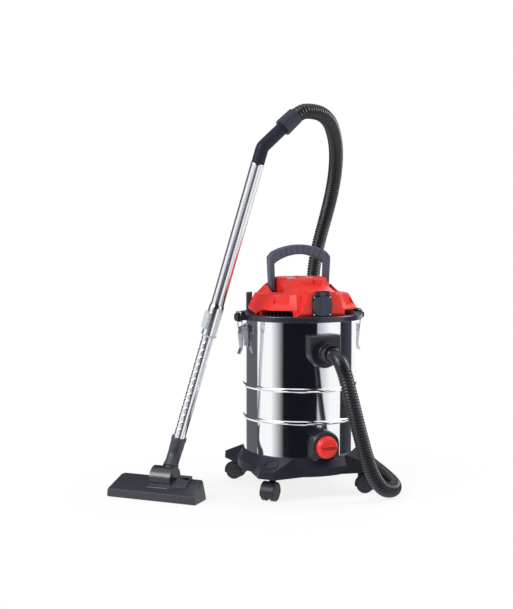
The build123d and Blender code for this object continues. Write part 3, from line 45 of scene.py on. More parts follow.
def linear(hex_colour):
    """A colour written as sRGB hex, as the linear values that the shaders take."""
    parts = [int(hex_colour[i:i + 2], 16) / 255 for i in (1, 3, 5)]
    return [p / 12.92 if p <= 0.04045 else ((p + 0.055) / 1.055) ** 2.4 for p in parts] + [1.0]


def join_node(tree, kind, settings, links):
    """Adds one node, sets its properties or inputs, and links inputs, by name or number, to outputs."""
    node = tree.nodes.new(kind)
    for key, value in settings.items():
        if isinstance(key, int) or key in node.inputs:
            node.inputs[key].default_value = value
        else:
            setattr(node, key, value)
    for key, output in links.items():
        tree.links.new(output, node.inputs[key])
    return node


picture_height_px = 609
focal_length_px = 1070.868
sensor_height_mm = 36.0
camera_place = (-1.1155, -2.7431, 0.7159)
view_direction = Vector((0.33793, 0.93850, -0.07080))
camera_data = bpy.data.cameras.new("product_camera")
camera_data.sensor_fit = "VERTICAL"
camera_data.sensor_height = sensor_height_mm
camera_data.lens = focal_length_px / picture_height_px * sensor_height_mm
camera_data.clip_end = 60.0
camera = bpy.data.objects.new("product_camera", camera_data)
camera.location = camera_place
camera.rotation_euler = view_direction.to_track_quat("-Z", "Y").to_euler()
scene.collection.objects.link(camera)
scene.camera = camera

# The surround is white where it is seen or mirrored, and lights the machine more weakly
surround_light = 0.38
world = bpy.data.worlds.new("white_surround")
scene.world = world
world.use_nodes = True
sky = world.node_tree
sky.nodes.clear()
ray = join_node(sky, "ShaderNodeLightPath", {}, {})
seen = join_node(
    sky, "ShaderNodeMath", {"operation": "MAXIMUM"},
    {0: ray.outputs["Is Camera Ray"], 1: ray.outputs["Is Glossy Ray"]},
)
seen = join_node(
    sky, "ShaderNodeMath", {"operation": "MAXIMUM"},
    {0: seen.outputs[0], 1: ray.outputs["Is Transmission Ray"]},
)
level = join_node(
    sky, "ShaderNodeMapRange", {"To Min": surround_light, "To Max": 1.0}, {"Value": seen.outputs[0]}
)
surround = join_node(
    sky, "ShaderNodeBackground", {"Color": (1, 1, 1, 1)}, {"Strength": level.outputs["Result"]}
)
join_node(sky, "ShaderNodeOutputWorld", {}, {"Surface": surround.outputs[0]})

# White paint on the floor: it takes a faint shadow near the machine and turns pure white further out
floor_size = 40
floor_drop = 0.0004
shadow_near = 0.3
shadow_far = 0.7
glow_near = 0.84
bpy.ops.object.select_all(action="DESELECT")
bpy.ops.mesh.primitive_plane_add(size=floor_size, location=(0, 0, -floor_drop))
floor = bpy.context.object
floor.name = "studio_floor"
floor_paint = bpy.data.materials.new("white_studio_floor")
floor_paint.use_nodes = True
tree = floor_paint.node_tree
tree.nodes.clear()
matt = join_node(tree, "ShaderNodeBsdfDiffuse", {"Color": linear("#F4F4F5")}, {})
glow = join_node(tree, "ShaderNodeEmission", {"Color": (1, 1, 1, 1), "Strength": 1.0}, {})
spot = join_node(tree, "ShaderNodeTexCoord", {}, {})
away = join_node(tree, "ShaderNodeVectorMath", {"operation": "LENGTH"}, {0: spot.outputs["Object"]})
fade = join_node(
    tree, "ShaderNodeMapRange",
    {"From Min": shadow_near, "From Max": shadow_far, "To Min": glow_near, "To Max": 1.0},
    {"Value": away.outputs["Value"]},
)
blend = join_node(
    tree, "ShaderNodeMixShader", {}, {0: fade.outputs["Result"], 1: matt.outputs[0], 2: glow.outputs[0]}
)
join_node(tree, "ShaderNodeOutputMaterial", {}, {"Surface": blend.outputs[0]})
floor.data.materials.append(floor_paint)
floor.visible_glossy = False

lamp_target = Vector((0, 0, 0.4))
for name, place, size, watts in (
    ("key_lamp", (-3.3, -1.0, 2.3), 1.8, 92),
    ("fill_lamp", (3.2, -0.6, 2.2), 1.8, 90),
    ("top_lamp", (0.2, 0.4, 3.2), 2.4, 11),
    ("rim_lamp", (1.4, 2.6, 2.2), 1.6, 14),
):
    lamp_data = bpy.data.lights.new(name, "AREA")
    lamp_data.size = size
    lamp_data.energy = watts
    lamp = bpy.data.objects.new(name, lamp_data)
    lamp.location = place
    lamp.rotation_euler = (lamp_target - Vector(place)).to_track_quat("-Z", "Y").to_euler()
    scene.collection.objects.link(lamp)


def studio_card(name, from_deg, to_deg, from_shade, to_shade, low=-3.0, high=13.0):
    """An upright curved cloth round the drum between two heights in m, seen only in reflections and
    dyed from one shade to another. Angles count from the camera's side."""
    camera_deg = -22
    reach = 12.0
    bpy.ops.object.select_all(action="DESELECT")
    bpy.ops.mesh.primitive_grid_add(x_subdivisions=24, y_subdivisions=1, size=1)
    card = bpy.context.object
    card.name = name
    for vertex in card.data.vertices:
        turn = math.radians(camera_deg + from_deg + (vertex.co.x + 0.5) * (to_deg - from_deg))
        height = low + (vertex.co.y + 0.5) * (high - low)
        vertex.co = (reach * math.sin(turn), -reach * math.cos(turn), height)
    cloth = bpy.data.materials.new(name + "_cloth")
    cloth.use_nodes = True
    tree = cloth.node_tree
    tree.nodes.clear()
    spot = join_node(tree, "ShaderNodeTexCoord", {}, {})
    share = join_node(tree, "ShaderNodeSeparateXYZ", {}, {0: spot.outputs["UV"]})
    dye = join_node(tree, "ShaderNodeMix", {"data_type": "RGBA"}, {0: share.outputs[0]})
    dye.inputs[6].default_value = linear(from_shade)
    dye.inputs[7].default_value = linear(to_shade)
    tone = join_node(tree, "ShaderNodeEmission", {"Strength": 1.0}, {"Color": dye.outputs[2]})
    join_node(tree, "ShaderNodeOutputMaterial", {}, {"Surface": tone.outputs[0]})
    card.data.materials.append(cloth)
    card.visible_camera = False
    card.visible_diffuse = False
    card.visible_shadow = False
    card.visible_transmission = False


studio_card("dark_cloth", -33, 35, "#15171E", "#15171E")
studio_card("fading_cloth_left", -33, -58, "#30323A", "#F4F5F7")
studio_card("fading_cloth_right", 35, 62, "#A9B2BE", "#FAFBFC")
studio_card("grey_card_left", -95, -140, "#5C5E67", "#63656D")
studio_card("grey_card_right", 89, 130, "#23252B", "#4A4C54")
studio_card("grey_backdrop", 130, 220, "#4E5058", "#4E5058", low=0.5, high=26.0)
# The leaning tube mirrors what lies lower: a grey cloth on the floor, a narrow strip and a rear edge
for name, from_deg, to_deg, from_shade, to_shade in (
    ("floor_cloth", -24, 16, "#6A7080", "#3A3F50"),
    ("floor_strip", 54, 65, "#6A7080", "#6A7080"),
    ("floor_rear", 134, 200, "#4E5058", "#4E5058"),
):
    studio_card(name, from_deg, to_deg, from_shade, to_shade, low=-12.0, high=-3.0)

# Drum: a can deep-drawn from 1.2 mm stainless sheet and polished to a mirror, with two beads
# swaged round it for stiffness and its rim rolled outwards. It stands in the well of the base.
mm = 0.001


def turned(name, profile, sides=96, smooth=35):
    """A turned piece about Z: a ring at the profile's first (radius, height) in mm is extruded and
    scaled to each next one. Open ends are filled, and a profile that comes back closes on itself."""
    bpy.ops.object.select_all(action="DESELECT")
    radius, height = profile[0]
    bpy.ops.mesh.primitive_circle_add(vertices=sides, radius=radius * mm, location=(0, 0, height * mm))
    piece = bpy.context.object
    piece.name = name
    bpy.ops.object.transform_apply(location=True, rotation=True, scale=True)
    bpy.ops.object.mode_set(mode="EDIT")
    bpy.ops.mesh.select_all(action="SELECT")
    for wide, high in profile[1:]:
        growth = wide / radius
        bpy.ops.mesh.extrude_edges_move(TRANSFORM_OT_translate={"value": (0, 0, (high - height) * mm)})
        bpy.ops.transform.resize(value=(growth, growth, 1), center_override=(0, 0, high * mm))
        radius, height = wide, high
    bpy.ops.mesh.select_all(action="SELECT")
    bpy.ops.mesh.remove_doubles(threshold=1e-6)
    bpy.ops.mesh.fill_holes(sides=0)
    bpy.ops.mesh.select_all(action="SELECT")
    bpy.ops.mesh.normals_make_consistent(inside=False)
    bpy.ops.object.mode_set(mode="OBJECT")
    bpy.ops.object.shade_smooth_by_angle(angle=math.radians(smooth))
    return piece


def seat(piece, body, finish, slot, *nodes):
    """Gives a piece its material, ties it to the body it moves with, and hides the nodes it stands for."""
    piece.data.materials.clear()
    piece.data.materials.append(finish)
    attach(piece, body)
    if nodes:
        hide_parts(*nodes)
    return piece


def bead(radius, middle, proud=3.0, half=6.0, steps=10):
    """The points of one swaged bead, a shallow arc standing out of the wall."""
    bow = (half * half + proud * proud) / (2 * proud)
    return [
        (radius + proud - bow + math.sqrt(bow * bow - z * z), middle + z)
        for z in [half * (2 * i / steps - 1) for i in range(steps + 1)]
    ]


def metal(name, colour):
    """A bare metal of a colour: the material, its node tree, its shader and its Object coordinates."""
    finish = bpy.data.materials.new(name)
    finish.use_nodes = True
    tree = finish.node_tree
    shader = tree.nodes["Principled BSDF"]
    shader.inputs["Metallic"].default_value = 1.0
    shader.inputs["Base Color"].default_value = linear(colour)
    spot = join_node(tree, "ShaderNodeTexCoord", {}, {})
    return finish, tree, shader, spot.outputs["Object"]


drum_radius = 156
drum_outside = [(140, 90.2), (150, 90.4), (153.6, 91.6), (155.4, 94)]
drum_outside += [(drum_radius, height) for height in (98, 98.6, 100)]
drum_outside += bead(drum_radius, 201) + bead(drum_radius, 288)
drum_outside += [(drum_radius, 469), (157.5, 470), (159.2, 470.4), (159.8, 472), (159, 473.6)]
drum_outside += [(drum_radius, 474)]
drum_inside = [(154.8, 473), (154.8, 97), (152, 92.4), (140, 91.4), (140, 90.2)]
drum = turned("drum_can", drum_outside + drum_inside, sides=224)

# Stainless sheet, polished: it mirrors the room almost sharply; slow waves left by the drawing
# bend the mirrored edges a little, and a faint ring grain from the buffing blurs them. The grain is
# drawn 2.5 mm apart, coarser than the real one, so that it shows.
wave_mm = 110.0
grain_mm = 2.5
grain_along = 12
polished_stainless, tree, shader, position = metal("polished_stainless_sheet", "#F6F7F9")
wave = join_node(
    tree, "ShaderNodeTexNoise", {"Scale": 1000 / wave_mm, "Detail": 1.0}, {"Vector": position}
)
stretch = join_node(
    tree, "ShaderNodeMapping", {"Scale": (grain_along, grain_along, 1000 / grain_mm)}, {"Vector": position}
)
grain = join_node(
    tree, "ShaderNodeTexNoise", {"Scale": 1.0, "Detail": 2.0}, {"Vector": stretch.outputs[0]}
)
gloss = join_node(
    tree, "ShaderNodeMapRange", {"From Min": 0.3, "From Max": 0.7, "To Min": 0.05, "To Max": 0.1},
    {"Value": grain.outputs["Fac"]},
)
tree.links.new(gloss.outputs["Result"], shader.inputs["Roughness"])
ripple = join_node(
    tree, "ShaderNodeBump", {"Strength": 0.25, "Distance": 0.002}, {"Height": wave.outputs["Fac"]}
)
tree.links.new(ripple.outputs["Normal"], shader.inputs["Normal"])
seat(drum, "machine", polished_stainless, "stainless", "drum")

# Base: a one-piece charcoal polypropylene moulding with a well for the drum and four wedge feet.
# Its edges carry the small radius of the mould, and its skin the fine grain of a sparked tool.


def pick(piece):
    """Selects one object alone and makes it the active one."""
    bpy.ops.object.select_all(action="DESELECT")
    piece.select_set(True)
    bpy.context.view_layer.objects.active = piece


def rounded(piece, edge, limit=24, steps=2, smooth=30):
    """Rounds a piece's edges to a radius in mm; its flat faces go on shading flat."""
    pick(piece)
    rounding = piece.modifiers.new("mould_radius", "BEVEL")
    rounding.width = edge * mm
    rounding.segments = steps
    rounding.limit_method = "ANGLE"
    rounding.angle_limit = math.radians(limit)
    rounding.miter_outer = "MITER_ARC"
    bpy.ops.object.modifier_apply(modifier=rounding.name)
    bpy.ops.object.shade_smooth_by_angle(angle=math.radians(smooth))
    flat_faces = piece.modifiers.new("flat_faces", "WEIGHTED_NORMAL")
    flat_faces.keep_sharp = True
    bpy.ops.object.modifier_apply(modifier=flat_faces.name)
    return piece


def moulded(name, node, edge, limit=24, steps=2, smooth=30):
    """A copy of a node's solid with its triangles merged and its edges rounded to a radius in mm, or
    left sharp where the radius is 0."""
    pick(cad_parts[node])
    bpy.ops.object.duplicate()
    piece = bpy.context.object
    piece.name = name
    piece.parent = None
    for key in list(piece.keys()):
        del piece[key]
    bpy.ops.mesh.customdata_custom_splitnormals_clear()
    bpy.ops.object.mode_set(mode="EDIT")
    bpy.ops.mesh.select_all(action="SELECT")
    bpy.ops.mesh.remove_doubles(threshold=2e-6)
    bpy.ops.mesh.dissolve_limited(angle_limit=math.radians(0.6))
    bpy.ops.object.mode_set(mode="OBJECT")
    if edge:
        rounded(piece, edge, limit, steps, smooth)
    else:
        bpy.ops.object.shade_smooth_by_angle(angle=math.radians(smooth))
    return piece


def moulded_plastic(name, colour, dark, roughness, grain_mm, depth, shine=0.3):
    """Moulded plastic: its colour drifts slightly over a hand's width, and the mould's grain breaks
    up its shine. The grain is drawn coarser than the real 0.1 mm so that it shows."""
    drift_mm = 60.0
    unevenness = 0.06
    plastic = bpy.data.materials.new(name)
    plastic.use_nodes = True
    tree = plastic.node_tree
    shader = tree.nodes["Principled BSDF"]
    shader.inputs["IOR"].default_value = 1.5
    shader.inputs["Specular IOR Level"].default_value = shine
    position = join_node(tree, "ShaderNodeTexCoord", {}, {}).outputs["Object"]
    drift = join_node(
        tree, "ShaderNodeTexNoise", {"Scale": 1000 / drift_mm, "Detail": 3.0}, {"Vector": position}
    )
    tint = join_node(tree, "ShaderNodeMix", {"data_type": "RGBA"}, {"Factor": drift.outputs["Fac"]})
    tint.inputs[6].default_value = linear(dark)
    tint.inputs[7].default_value = linear(colour)
    tree.links.new(tint.outputs[2], shader.inputs["Base Color"])
    grain = join_node(
        tree, "ShaderNodeTexNoise", {"Scale": 1000 / grain_mm, "Detail": 2.0}, {"Vector": position}
    )
    sheen = join_node(
        tree, "ShaderNodeMapRange",
        {
            "From Min": 0.3, "From Max": 0.7,
            "To Min": roughness - unevenness, "To Max": roughness + unevenness,
        },
        {"Value": grain.outputs["Fac"]},
    )
    tree.links.new(sheen.outputs["Result"], shader.inputs["Roughness"])
    skin = join_node(
        tree, "ShaderNodeBump", {"Strength": depth, "Distance": 0.0004}, {"Height": grain.outputs["Fac"]}
    )
    tree.links.new(skin.outputs["Normal"], shader.inputs["Normal"])
    return plastic


# Charcoal polypropylene off a sparked tool: a dull dark grey with a soft, broken shine
charcoal_plastic = moulded_plastic(
    "charcoal_polypropylene", "#282B36", "#21242E", roughness=0.48, grain_mm=1.6, depth=0.15, shine=0.16
)
base = moulded("base_dolly_moulding", "base_dolly", edge=1.6)
seat(base, "machine", charcoal_plastic, "charcoal_plastic", "base_dolly")

# Casters: twin black nylon wheels on a steel axle under a hooded body, which turns on a steel stem
# pushed up into the base's foot. Wheel faces are dished and have a thin raised rim.
caster_reach = 198
wheel_radius = 24
wheel_profile = [
    (3, 5.5), (22.6, 5.5), (wheel_radius, 7), (wheel_radius, 17.4), (23.2, 18.9), (21.8, 19.5),
    (20.6, 19.3), (20, 18.6), (12, 19.1), (6, 19.3), (2, 19.3),
]
axle_profile = [(3, -6), (3, 6)]
# Black nylon: nearly black, a little shinier than the base
black_plastic = moulded_plastic(
    "black_nylon", "#2C2F38", "#25272F", roughness=0.4, grain_mm=1.4, depth=0.2
)


def aim(piece, point, direction):
    """Turns a piece from +Z to a direction, moves it to a point in mm and applies both to its mesh."""
    pick(piece)
    piece.rotation_mode = "QUATERNION"
    piece.rotation_quaternion = Vector(direction).to_track_quat("Z", "Y")
    piece.location = Vector(point) * mm
    bpy.ops.object.transform_apply(location=True, rotation=True, scale=True)
    return piece


def joined(name, pieces):
    """Several meshes as one piece."""
    pick(pieces[0])
    for piece in pieces[1:]:
        piece.select_set(True)
    bpy.ops.object.join()
    pieces[0].name = name
    return pieces[0]


for corner, degrees in (
    ("front_left", 225), ("front_right", 315), ("rear_right", 45), ("rear_left", 135),
):
    out = Vector((math.cos(math.radians(degrees)), math.sin(math.radians(degrees)), 0))
    across = Vector((-out.y, out.x, 0))
    hub = out * caster_reach + Vector((0, 0, wheel_radius))
    near = aim(turned("wheel_near", wheel_profile, sides=72), hub, across)
    far = aim(turned("wheel_far", wheel_profile, sides=72), hub, -across)
    axle = aim(turned("wheel_axle", axle_profile, sides=24), hub, across)
    wheels = joined("caster_pair_" + corner, [near, far, axle])
    seat(wheels, "wheels_" + corner, black_plastic, "black_plastic", "caster_wheels_" + corner)
    hood = moulded("caster_body_" + corner, "caster_hood_" + corner, edge=0.8)
    seat(hood, "caster_" + corner, black_plastic, "charcoal_plastic", "caster_hood_" + corner)

# Hose inlet: a thick D-shaped flange seated on the drum with a sleeve through its wall and the ring of
# a bayonet, and the hose's cuff turned into it. Both are black glass-filled nylon.
inlet_place = (0, -188.2, 392)
inlet_dir = (0, -1, 0)
inlet_cuff_profile = [
    (20.3, -42), (20.3, 0), (26.2, 0.2), (27, 1), (27, 11.4), (26.4, 12.2), (24.6, 12.6), (24.4, 14),
    (24.2, 17), (23.9, 22), (23.6, 27), (23.3, 32), (23.1, 34.6), (22.4, 35.8), (21.2, 35.8),
    (20.3, 34.6), (20.3, 2), (16, 1.6), (16, -42), (20.3, -42),
]
# Nylon off a polished tool: near black, with the lamps drawn out into clear streaks
glossy_black = moulded_plastic(
    "black_glossy_nylon", "#1B1E26", "#16181F", roughness=0.3, grain_mm=1.2, depth=0.06, shine=0.6
)
flange = moulded("inlet_flange_moulding", "inlet_flange", edge=1.8, limit=30)
seat(flange, "machine", glossy_black, "charcoal_plastic", "inlet_flange")


def press_in(vertex, depth):
    """Moves a point of a piece turned about Z towards its axis, by a depth in m."""
    radius = math.hypot(vertex.co.x, vertex.co.y)
    vertex.co.x *= (radius - depth) / radius
    vertex.co.y *= (radius - depth) / radius


def fluted(piece, count, depth, low, high):
    """Presses round grip flutes, of a depth in mm, into a turned piece between two heights in mm."""
    for vertex in piece.data.vertices:
        if low < vertex.co.z / mm < high:
            turn = math.atan2(vertex.co.y, vertex.co.x)
            press_in(vertex, depth * mm * max(0.0, math.cos(turn * count)) ** 2)
    return piece


inlet_cuff = turned("hose_cuff_lower", inlet_cuff_profile, sides=144)
fluted(inlet_cuff, count=36, depth=0.9, low=13.5, high=33)
aim(inlet_cuff, inlet_place, inlet_dir)
seat(inlet_cuff, "machine", glossy_black, "charcoal_plastic", "hose_cuff_inlet")

# Drain: an arched black boss over the drain hole and a red screw cap with a knurled edge, moulded in
# the motor head's ABS. A lens-shaped grip bar lies across its face, cut by eight upright slots.
cap_middle = Vector((0, -210.4, 142.5))
grip_half_length = 22.6
grip_half_height = 8.8
grip_half_depth = 4
slot_count = 8
slot_pitch = 5.2
slot_width = 2.9
slot_depth = 9
slot_share = 0.75
slot_tallest = 9.0
boss = moulded("drain_boss_moulding", "drain_boss", edge=1.8, limit=30)
seat(boss, "machine", glossy_black, "charcoal_plastic", "drain_boss")
# Red ABS, satin: a strong red with broad, soft lights on its planes
red_plastic = moulded_plastic(
    "red_satin_abs", "#F23831", "#E8302A", roughness=0.32, grain_mm=1.8, depth=0.05, shine=0.4
)


def block(name, width, depth, height, middle):
    """A block of a size in mm about a point in mm, to shape further or to cut with."""
    bpy.ops.object.select_all(action="DESELECT")
    bpy.ops.mesh.primitive_cube_add(size=1, location=Vector(middle) * mm)
    piece = bpy.context.object
    piece.name = name
    piece.scale = (width * mm, depth * mm, height * mm)
    bpy.ops.object.transform_apply(location=True, rotation=True, scale=True)
    return piece


def cut(piece, cutter):
    """Takes the cutter's volume out of a piece and deletes the cutter."""
    pick(piece)
    removal = piece.modifiers.new("cut_" + cutter.name, "BOOLEAN")
    removal.object = cutter
    removal.operation = "DIFFERENCE"
    bpy.ops.object.modifier_apply(modifier=removal.name)
    bpy.data.objects.remove(cutter)
    return piece


cap = moulded("drain_cap_moulding", "drain_cap", edge=0.5, limit=40)
bar = turned("drain_grip_bar", [(1, -grip_half_depth), (1, grip_half_depth)], sides=64)
bar_middle = cap_middle + Vector((0, grip_half_depth, 0))
for vertex in bar.data.vertices:
    lie = vertex.co.x / mm
    tall = math.copysign(grip_half_height * (1 - lie * lie), vertex.co.y)
    vertex.co = Vector((lie * grip_half_length, -vertex.co.z / mm, tall)) * mm
    vertex.co += bar_middle * mm
for number in range(slot_count):
    lie = slot_pitch * (number - (slot_count - 1) / 2)
    bar_height = 2 * grip_half_height * (1 - (lie / grip_half_length) ** 2)
    tall = min(slot_tallest, slot_share * bar_height)
    for piece in (bar, cap):
        cut(piece, block("slot", slot_width, slot_depth, tall, cap_middle + Vector((lie, 0, 0))))
cap = joined("drain_cap_moulding", [cap, bar])
seat(cap, "cap", red_plastic, "red_plastic", "drain_cap")

# Latches: on each side a pressed bracket riveted to the drum, a channel-section lever on a steel pin
# and a wire bail that hooks over the head's lug. All of it is zinc-plated steel.


def coat(node, finish):
    """Gives a piece that stays as its solid the material of the real one."""
    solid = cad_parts[node]
    solid.data.materials.clear()
    solid.data.materials.append(finish)


# Zinc plating: a pale, cool grey, half dull, that changes a little from one zinc flower to the next
spangle_mm = 5.0
zinc_steel, tree, shader, position = metal("zinc_plated_steel", "#E6EAEE")
spangle = join_node(tree, "ShaderNodeTexVoronoi", {"Scale": 1000 / spangle_mm}, {"Vector": position})
bright = join_node(
    tree, "ShaderNodeMix", {"data_type": "RGBA"}, {"Factor": spangle.outputs["Distance"]}
)
bright.inputs[6].default_value = linear("#E6EAEE")
bright.inputs[7].default_value = linear("#CDD3DA")
tree.links.new(bright.outputs[2], shader.inputs["Base Color"])
dull = join_node(
    tree, "ShaderNodeMapRange", {"To Min": 0.28, "To Max": 0.36}, {"Value": spangle.outputs["Distance"]}
)
tree.links.new(dull.outputs["Result"], shader.inputs["Roughness"])
for side in ("right", "left"):
    bracket = moulded("latch_bracket_pressing_" + side, "latch_bracket_" + side, edge=0.5)
    seat(bracket, "machine", zinc_steel, "zinc_steel", "latch_bracket_" + side)
    lever = moulded("latch_lever_pressing_" + side, "latch_lever_" + side, edge=0.5)
    seat(lever, "lever_" + side, zinc_steel, "zinc_steel", "latch_lever_" + side)
    wire = moulded("latch_bail_wire_" + side, "latch_bail_" + side, edge=0, smooth=60)
    seat(wire, "bail_" + side, zinc_steel, "zinc_steel", "latch_bail_" + side)
for node in ("latch_pins", "latch_rivets"):
    coat(node, zinc_steel)

# Head ring: the charcoal lower plate of the motor head, a flat polypropylene band over the drum's
# rim. Its seal sits in a groove underneath, and the latches pull it down.
ring = moulded("head_ring_moulding", "head_ring", edge=1.2)
# Polypropylene off a polished tool: charcoal that mirrors the surround in one soft line
ring_plastic = moulded_plastic(
    "charcoal_glossy_ring", "#2B2E39", "#242731", roughness=0.22, grain_mm=1.6, depth=0.05, shine=0.6
)
seat(ring, "machine", ring_plastic, "charcoal_plastic", "head_ring")

# Catch lugs: charcoal polypropylene blocks on the ring's two sides, over which the bails hook, each
# between two fins that guard the wire.
lugs = moulded("latch_lug_blocks", "latch_lugs", edge=1.0)
seat(lugs, "machine", charcoal_plastic, "charcoal_plastic", "latch_lugs")

# Motor cover: a faceted red ABS moulding, satin, with crisp but rounded creases between its planes,
# a round-shouldered pod for the tool socket and a guard bar in front of the switch. Each side's lower
# edge comes down to the ring in a pointed foot between the front outlet and the rear.
wing_edge_z = 503.5
wing_half = 142.2
foot_inner_half = 123
foot_rear = (28, 501)
foot_tip = (-38, 485.3)
foot_front = (-60, 499.4)
foot_taper = 0.28
foot_flare = 0.12
moulding = moulded("cover_shell", "motor_cover", edge=2.2, limit=14, steps=3, smooth=24)
feet = []
for side in (1, -1):
    for rear, front in ((foot_rear, foot_tip), (foot_tip, foot_front)):
        foot = block("wing_foot", 1, 1, 1, (0, 0, 0))
        for vertex in foot.data.vertices:
            along, low = rear if vertex.co.y > 0 else front
            high = wing_edge_z if vertex.co.z > 0 else low
            taper = foot_taper * max(0, foot_tip[0] - along)
            wide = wing_half - taper + foot_flare * (wing_edge_z - high)
            if vertex.co.x * side <= 0:
                wide = foot_inner_half
            vertex.co = Vector((side * wide, along, high)) * mm
        feet.append(rounded(foot, 0.6))
cover = joined("motor_cover_moulding", [moulding, *feet])
seat(cover, "machine", red_plastic, "red_plastic", "motor_cover")

# Vent grille: a black ring of upright fins behind the cover's air outlets, moulded in one from nylon.
# It stands on the head ring inside the cover.
grille = moulded("vent_grille_moulding", "vent_grille", edge=0.3)
seat(grille, "machine", black_plastic, "black_plastic", "vent_grille")

# Carry handle: an arch moulded in charcoal nylon, its grip grooved across, with both feet let into
# notches in the cover's sides.
handle = moulded("carry_handle_moulding", "carry_handle", edge=1.2, limit=30)
# Grained nylon: lighter than the rest of the charcoal, and matt for the hand
handle_nylon = moulded_plastic(
    "charcoal_handle_nylon", "#565B6D", "#4F5464", roughness=0.4, grain_mm=1.6, depth=0.25
)
seat(handle, "machine", handle_nylon, "black_plastic", "carry_handle")

# Cord hooks and cable entry: two black nylon posts at the rear of the ring, for winding the cord
# round, and the rubber gland through which it leaves the cover.
post_width = 10
post_depth = 22
post_height = 52
post_middle = (157, 0, 511)
posts = []
for degrees in (46, 134):
    post = block("hook_post", post_width, post_depth, post_height, post_middle)
    post.data.transform(Matrix.Rotation(math.radians(degrees), 4, "Z"))
    posts.append(rounded(post, 1.8))
hooks = joined("cord_hook_posts", posts)
seat(hooks, "machine", glossy_black, "charcoal_plastic", "cord_hooks")
# Moulded rubber: nearly black, and dull
soft_rubber = moulded_plastic(
    "black_rubber", "#1E1F22", "#18191B", roughness=0.62, grain_mm=1.0, depth=0.3
)
gland = moulded("cord_gland_rubber", "cord_gland", edge=0.8)
seat(gland, "machine", soft_rubber, "rubber", "cord_gland")

# Tool socket: a square black plate with a hinge block, a round sprung lid on a brass pin, and four
# zinc-plated screws; under the lid sits the insulating cup of the socket.
plate = moulded("socket_plate_moulding", "socket_plate", edge=0.8)
seat(plate, "machine", black_plastic, "black_plastic", "socket_plate")
lid = moulded("socket_lid_moulding", "socket_lid", edge=0.6)
# The lid's nylon: a lighter charcoal than its plate, with a soft shine
lid_plastic = moulded_plastic(
    "charcoal_socket_lid", "#3E424E", "#383C47", roughness=0.38, grain_mm=1.2, depth=0.15
)
seat(lid, "lid", lid_plastic, "black_plastic", "socket_lid")


def grained_metal(name, colour, grain_mm, smoothest, roughest):
    """A metal whose gloss changes from grain to grain, of a size in mm."""
    finish, tree, shader, position = metal(name, colour)
    grain = join_node(tree, "ShaderNodeTexNoise", {"Scale": 1000 / grain_mm}, {"Vector": position})
    gloss = join_node(
        tree, "ShaderNodeMapRange", {"To Min": smoothest, "To Max": roughest},
        {"Value": grain.outputs["Fac"]},
    )
    tree.links.new(gloss.outputs["Result"], shader.inputs["Roughness"])
    return finish


# Drawn brass: warm yellow, its shine broken up by marks drawn coarser than the real ones
brass = grained_metal("drawn_brass", "#C9A45A", grain_mm=1.5, smoothest=0.2, roughest=0.4)
for node, finish in (
    ("socket_core", black_plastic), ("socket_screws", zinc_steel), ("socket_pin", brass),
):
    coat(node, finish)

# Switch: a glossy panel let into the deck of the cover, and a rocker of red ABS that
# snaps into the panel's frame on two trunnions. The panel's pale blue is painted reflection: it stands for
# the white surround mirrored in a flat facet of the deck.

# Glossy plastic painted an even pale blue, a painted reflection of the white surround, under a glassy
# shine
pale_panel = moulded_plastic(
    "switch_panel_painted_reflection", "#BFD3E2", "#B3C9DA", roughness=0.18, grain_mm=3.0, depth=0.03
)
panel = moulded("switch_panel_plate", "switch_panel", edge=0.5)
seat(panel, "machine", pale_panel, "pale_panel", "switch_panel")
rocker = moulded("power_rocker", "power_switch", edge=0.8)
seat(rocker, "rocker", red_plastic, "red_plastic", "power_switch")

# Inside the head and the drum: fan in a zinc-plated housing, motor, rubber mount, and under the ring
# the filter cage with its float ball, the pleated paper cartridge and its retaining knob.

# Cast aluminium: a flat grey with the dull speckle that the mould leaves
cast_metal = grained_metal("cast_aluminium", "#B9BBBE", grain_mm=2.0, smoothest=0.35, roughest=0.55)
# Resin-bound paper: cream, matt and slightly fibrous
filter_paper = moulded_plastic(
    "pleated_filter_paper", "#E6E1D2", "#D8D2C0", roughness=0.8, grain_mm=3.0, depth=0.3
)
# White polypropylene: off-white with a soft shine
white_plastic = moulded_plastic(
    "white_polypropylene", "#E4E4E1", "#DADAD6", roughness=0.4, grain_mm=2.0, depth=0.1
)
for node, finish in (
    ("drum_seal", soft_rubber), ("fan_housing", zinc_steel), ("fan_impeller", cast_metal),
    ("motor_body", cast_metal), ("motor_mount", soft_rubber), ("filter_cage", black_plastic),
    ("float_ball", white_plastic), ("filter_cartridge", filter_paper),
    ("filter_retainer", black_plastic),
):
    coat(node, finish)

# Hose: two metres of black ribbed vinyl, 40 mm outside, stiff enough to stand in an arch. It leaves
# the inlet cuff forwards, drops to the floor, runs back round the drum and rises to the bent handle.
tube_dir = Vector((0.209942, -0.232445, 0.949681))
tube_top = Vector((-177.9, -148.6, 881.8))
handle_corner = tube_top + tube_dir * 43
handle_dir = Vector((0.743, 0.048, 0.668)).normalized()
hose_route = [
    Vector((0, -187, 392)), Vector((0, -241, 392)), Vector((4, -266, 377)), Vector((12, -277, 346)),
    Vector((24, -279, 298)), Vector((42, -274, 240)), Vector((62, -265, 180)), Vector((86, -254, 116)),
    Vector((112, -248, 62)), Vector((142, -240, 28)), Vector((180, -220, 20)), Vector((207, -178, 20)),
    Vector((224, -118, 20)), Vector((239, -50, 20)), Vector((253, 20, 20)), Vector((258, 88, 26)),
    Vector((250, 148, 50)), Vector((234, 194, 96)), Vector((214, 220, 158)), Vector((191, 232, 228)),
    Vector((169, 236, 306)), Vector((149, 232, 388)), Vector((133, 222, 470)), Vector((125, 209, 550)),
    Vector((128, 196, 628)), Vector((138, 176, 700)), Vector((146, 148, 766)), Vector((144, 107, 828)),
    Vector((133, 60, 887)), Vector((111, 8, 940)), Vector((81, -42, 976)), Vector((50, -86, 1001)),
    Vector((12, -120, 1018)), Vector((-28, -141, 1021)), handle_corner + handle_dir * 142.5,
    handle_corner + handle_dir * 92.5,
]
line_data = bpy.data.curves.new("hose_line", "CURVE")
line_data.dimensions = "3D"
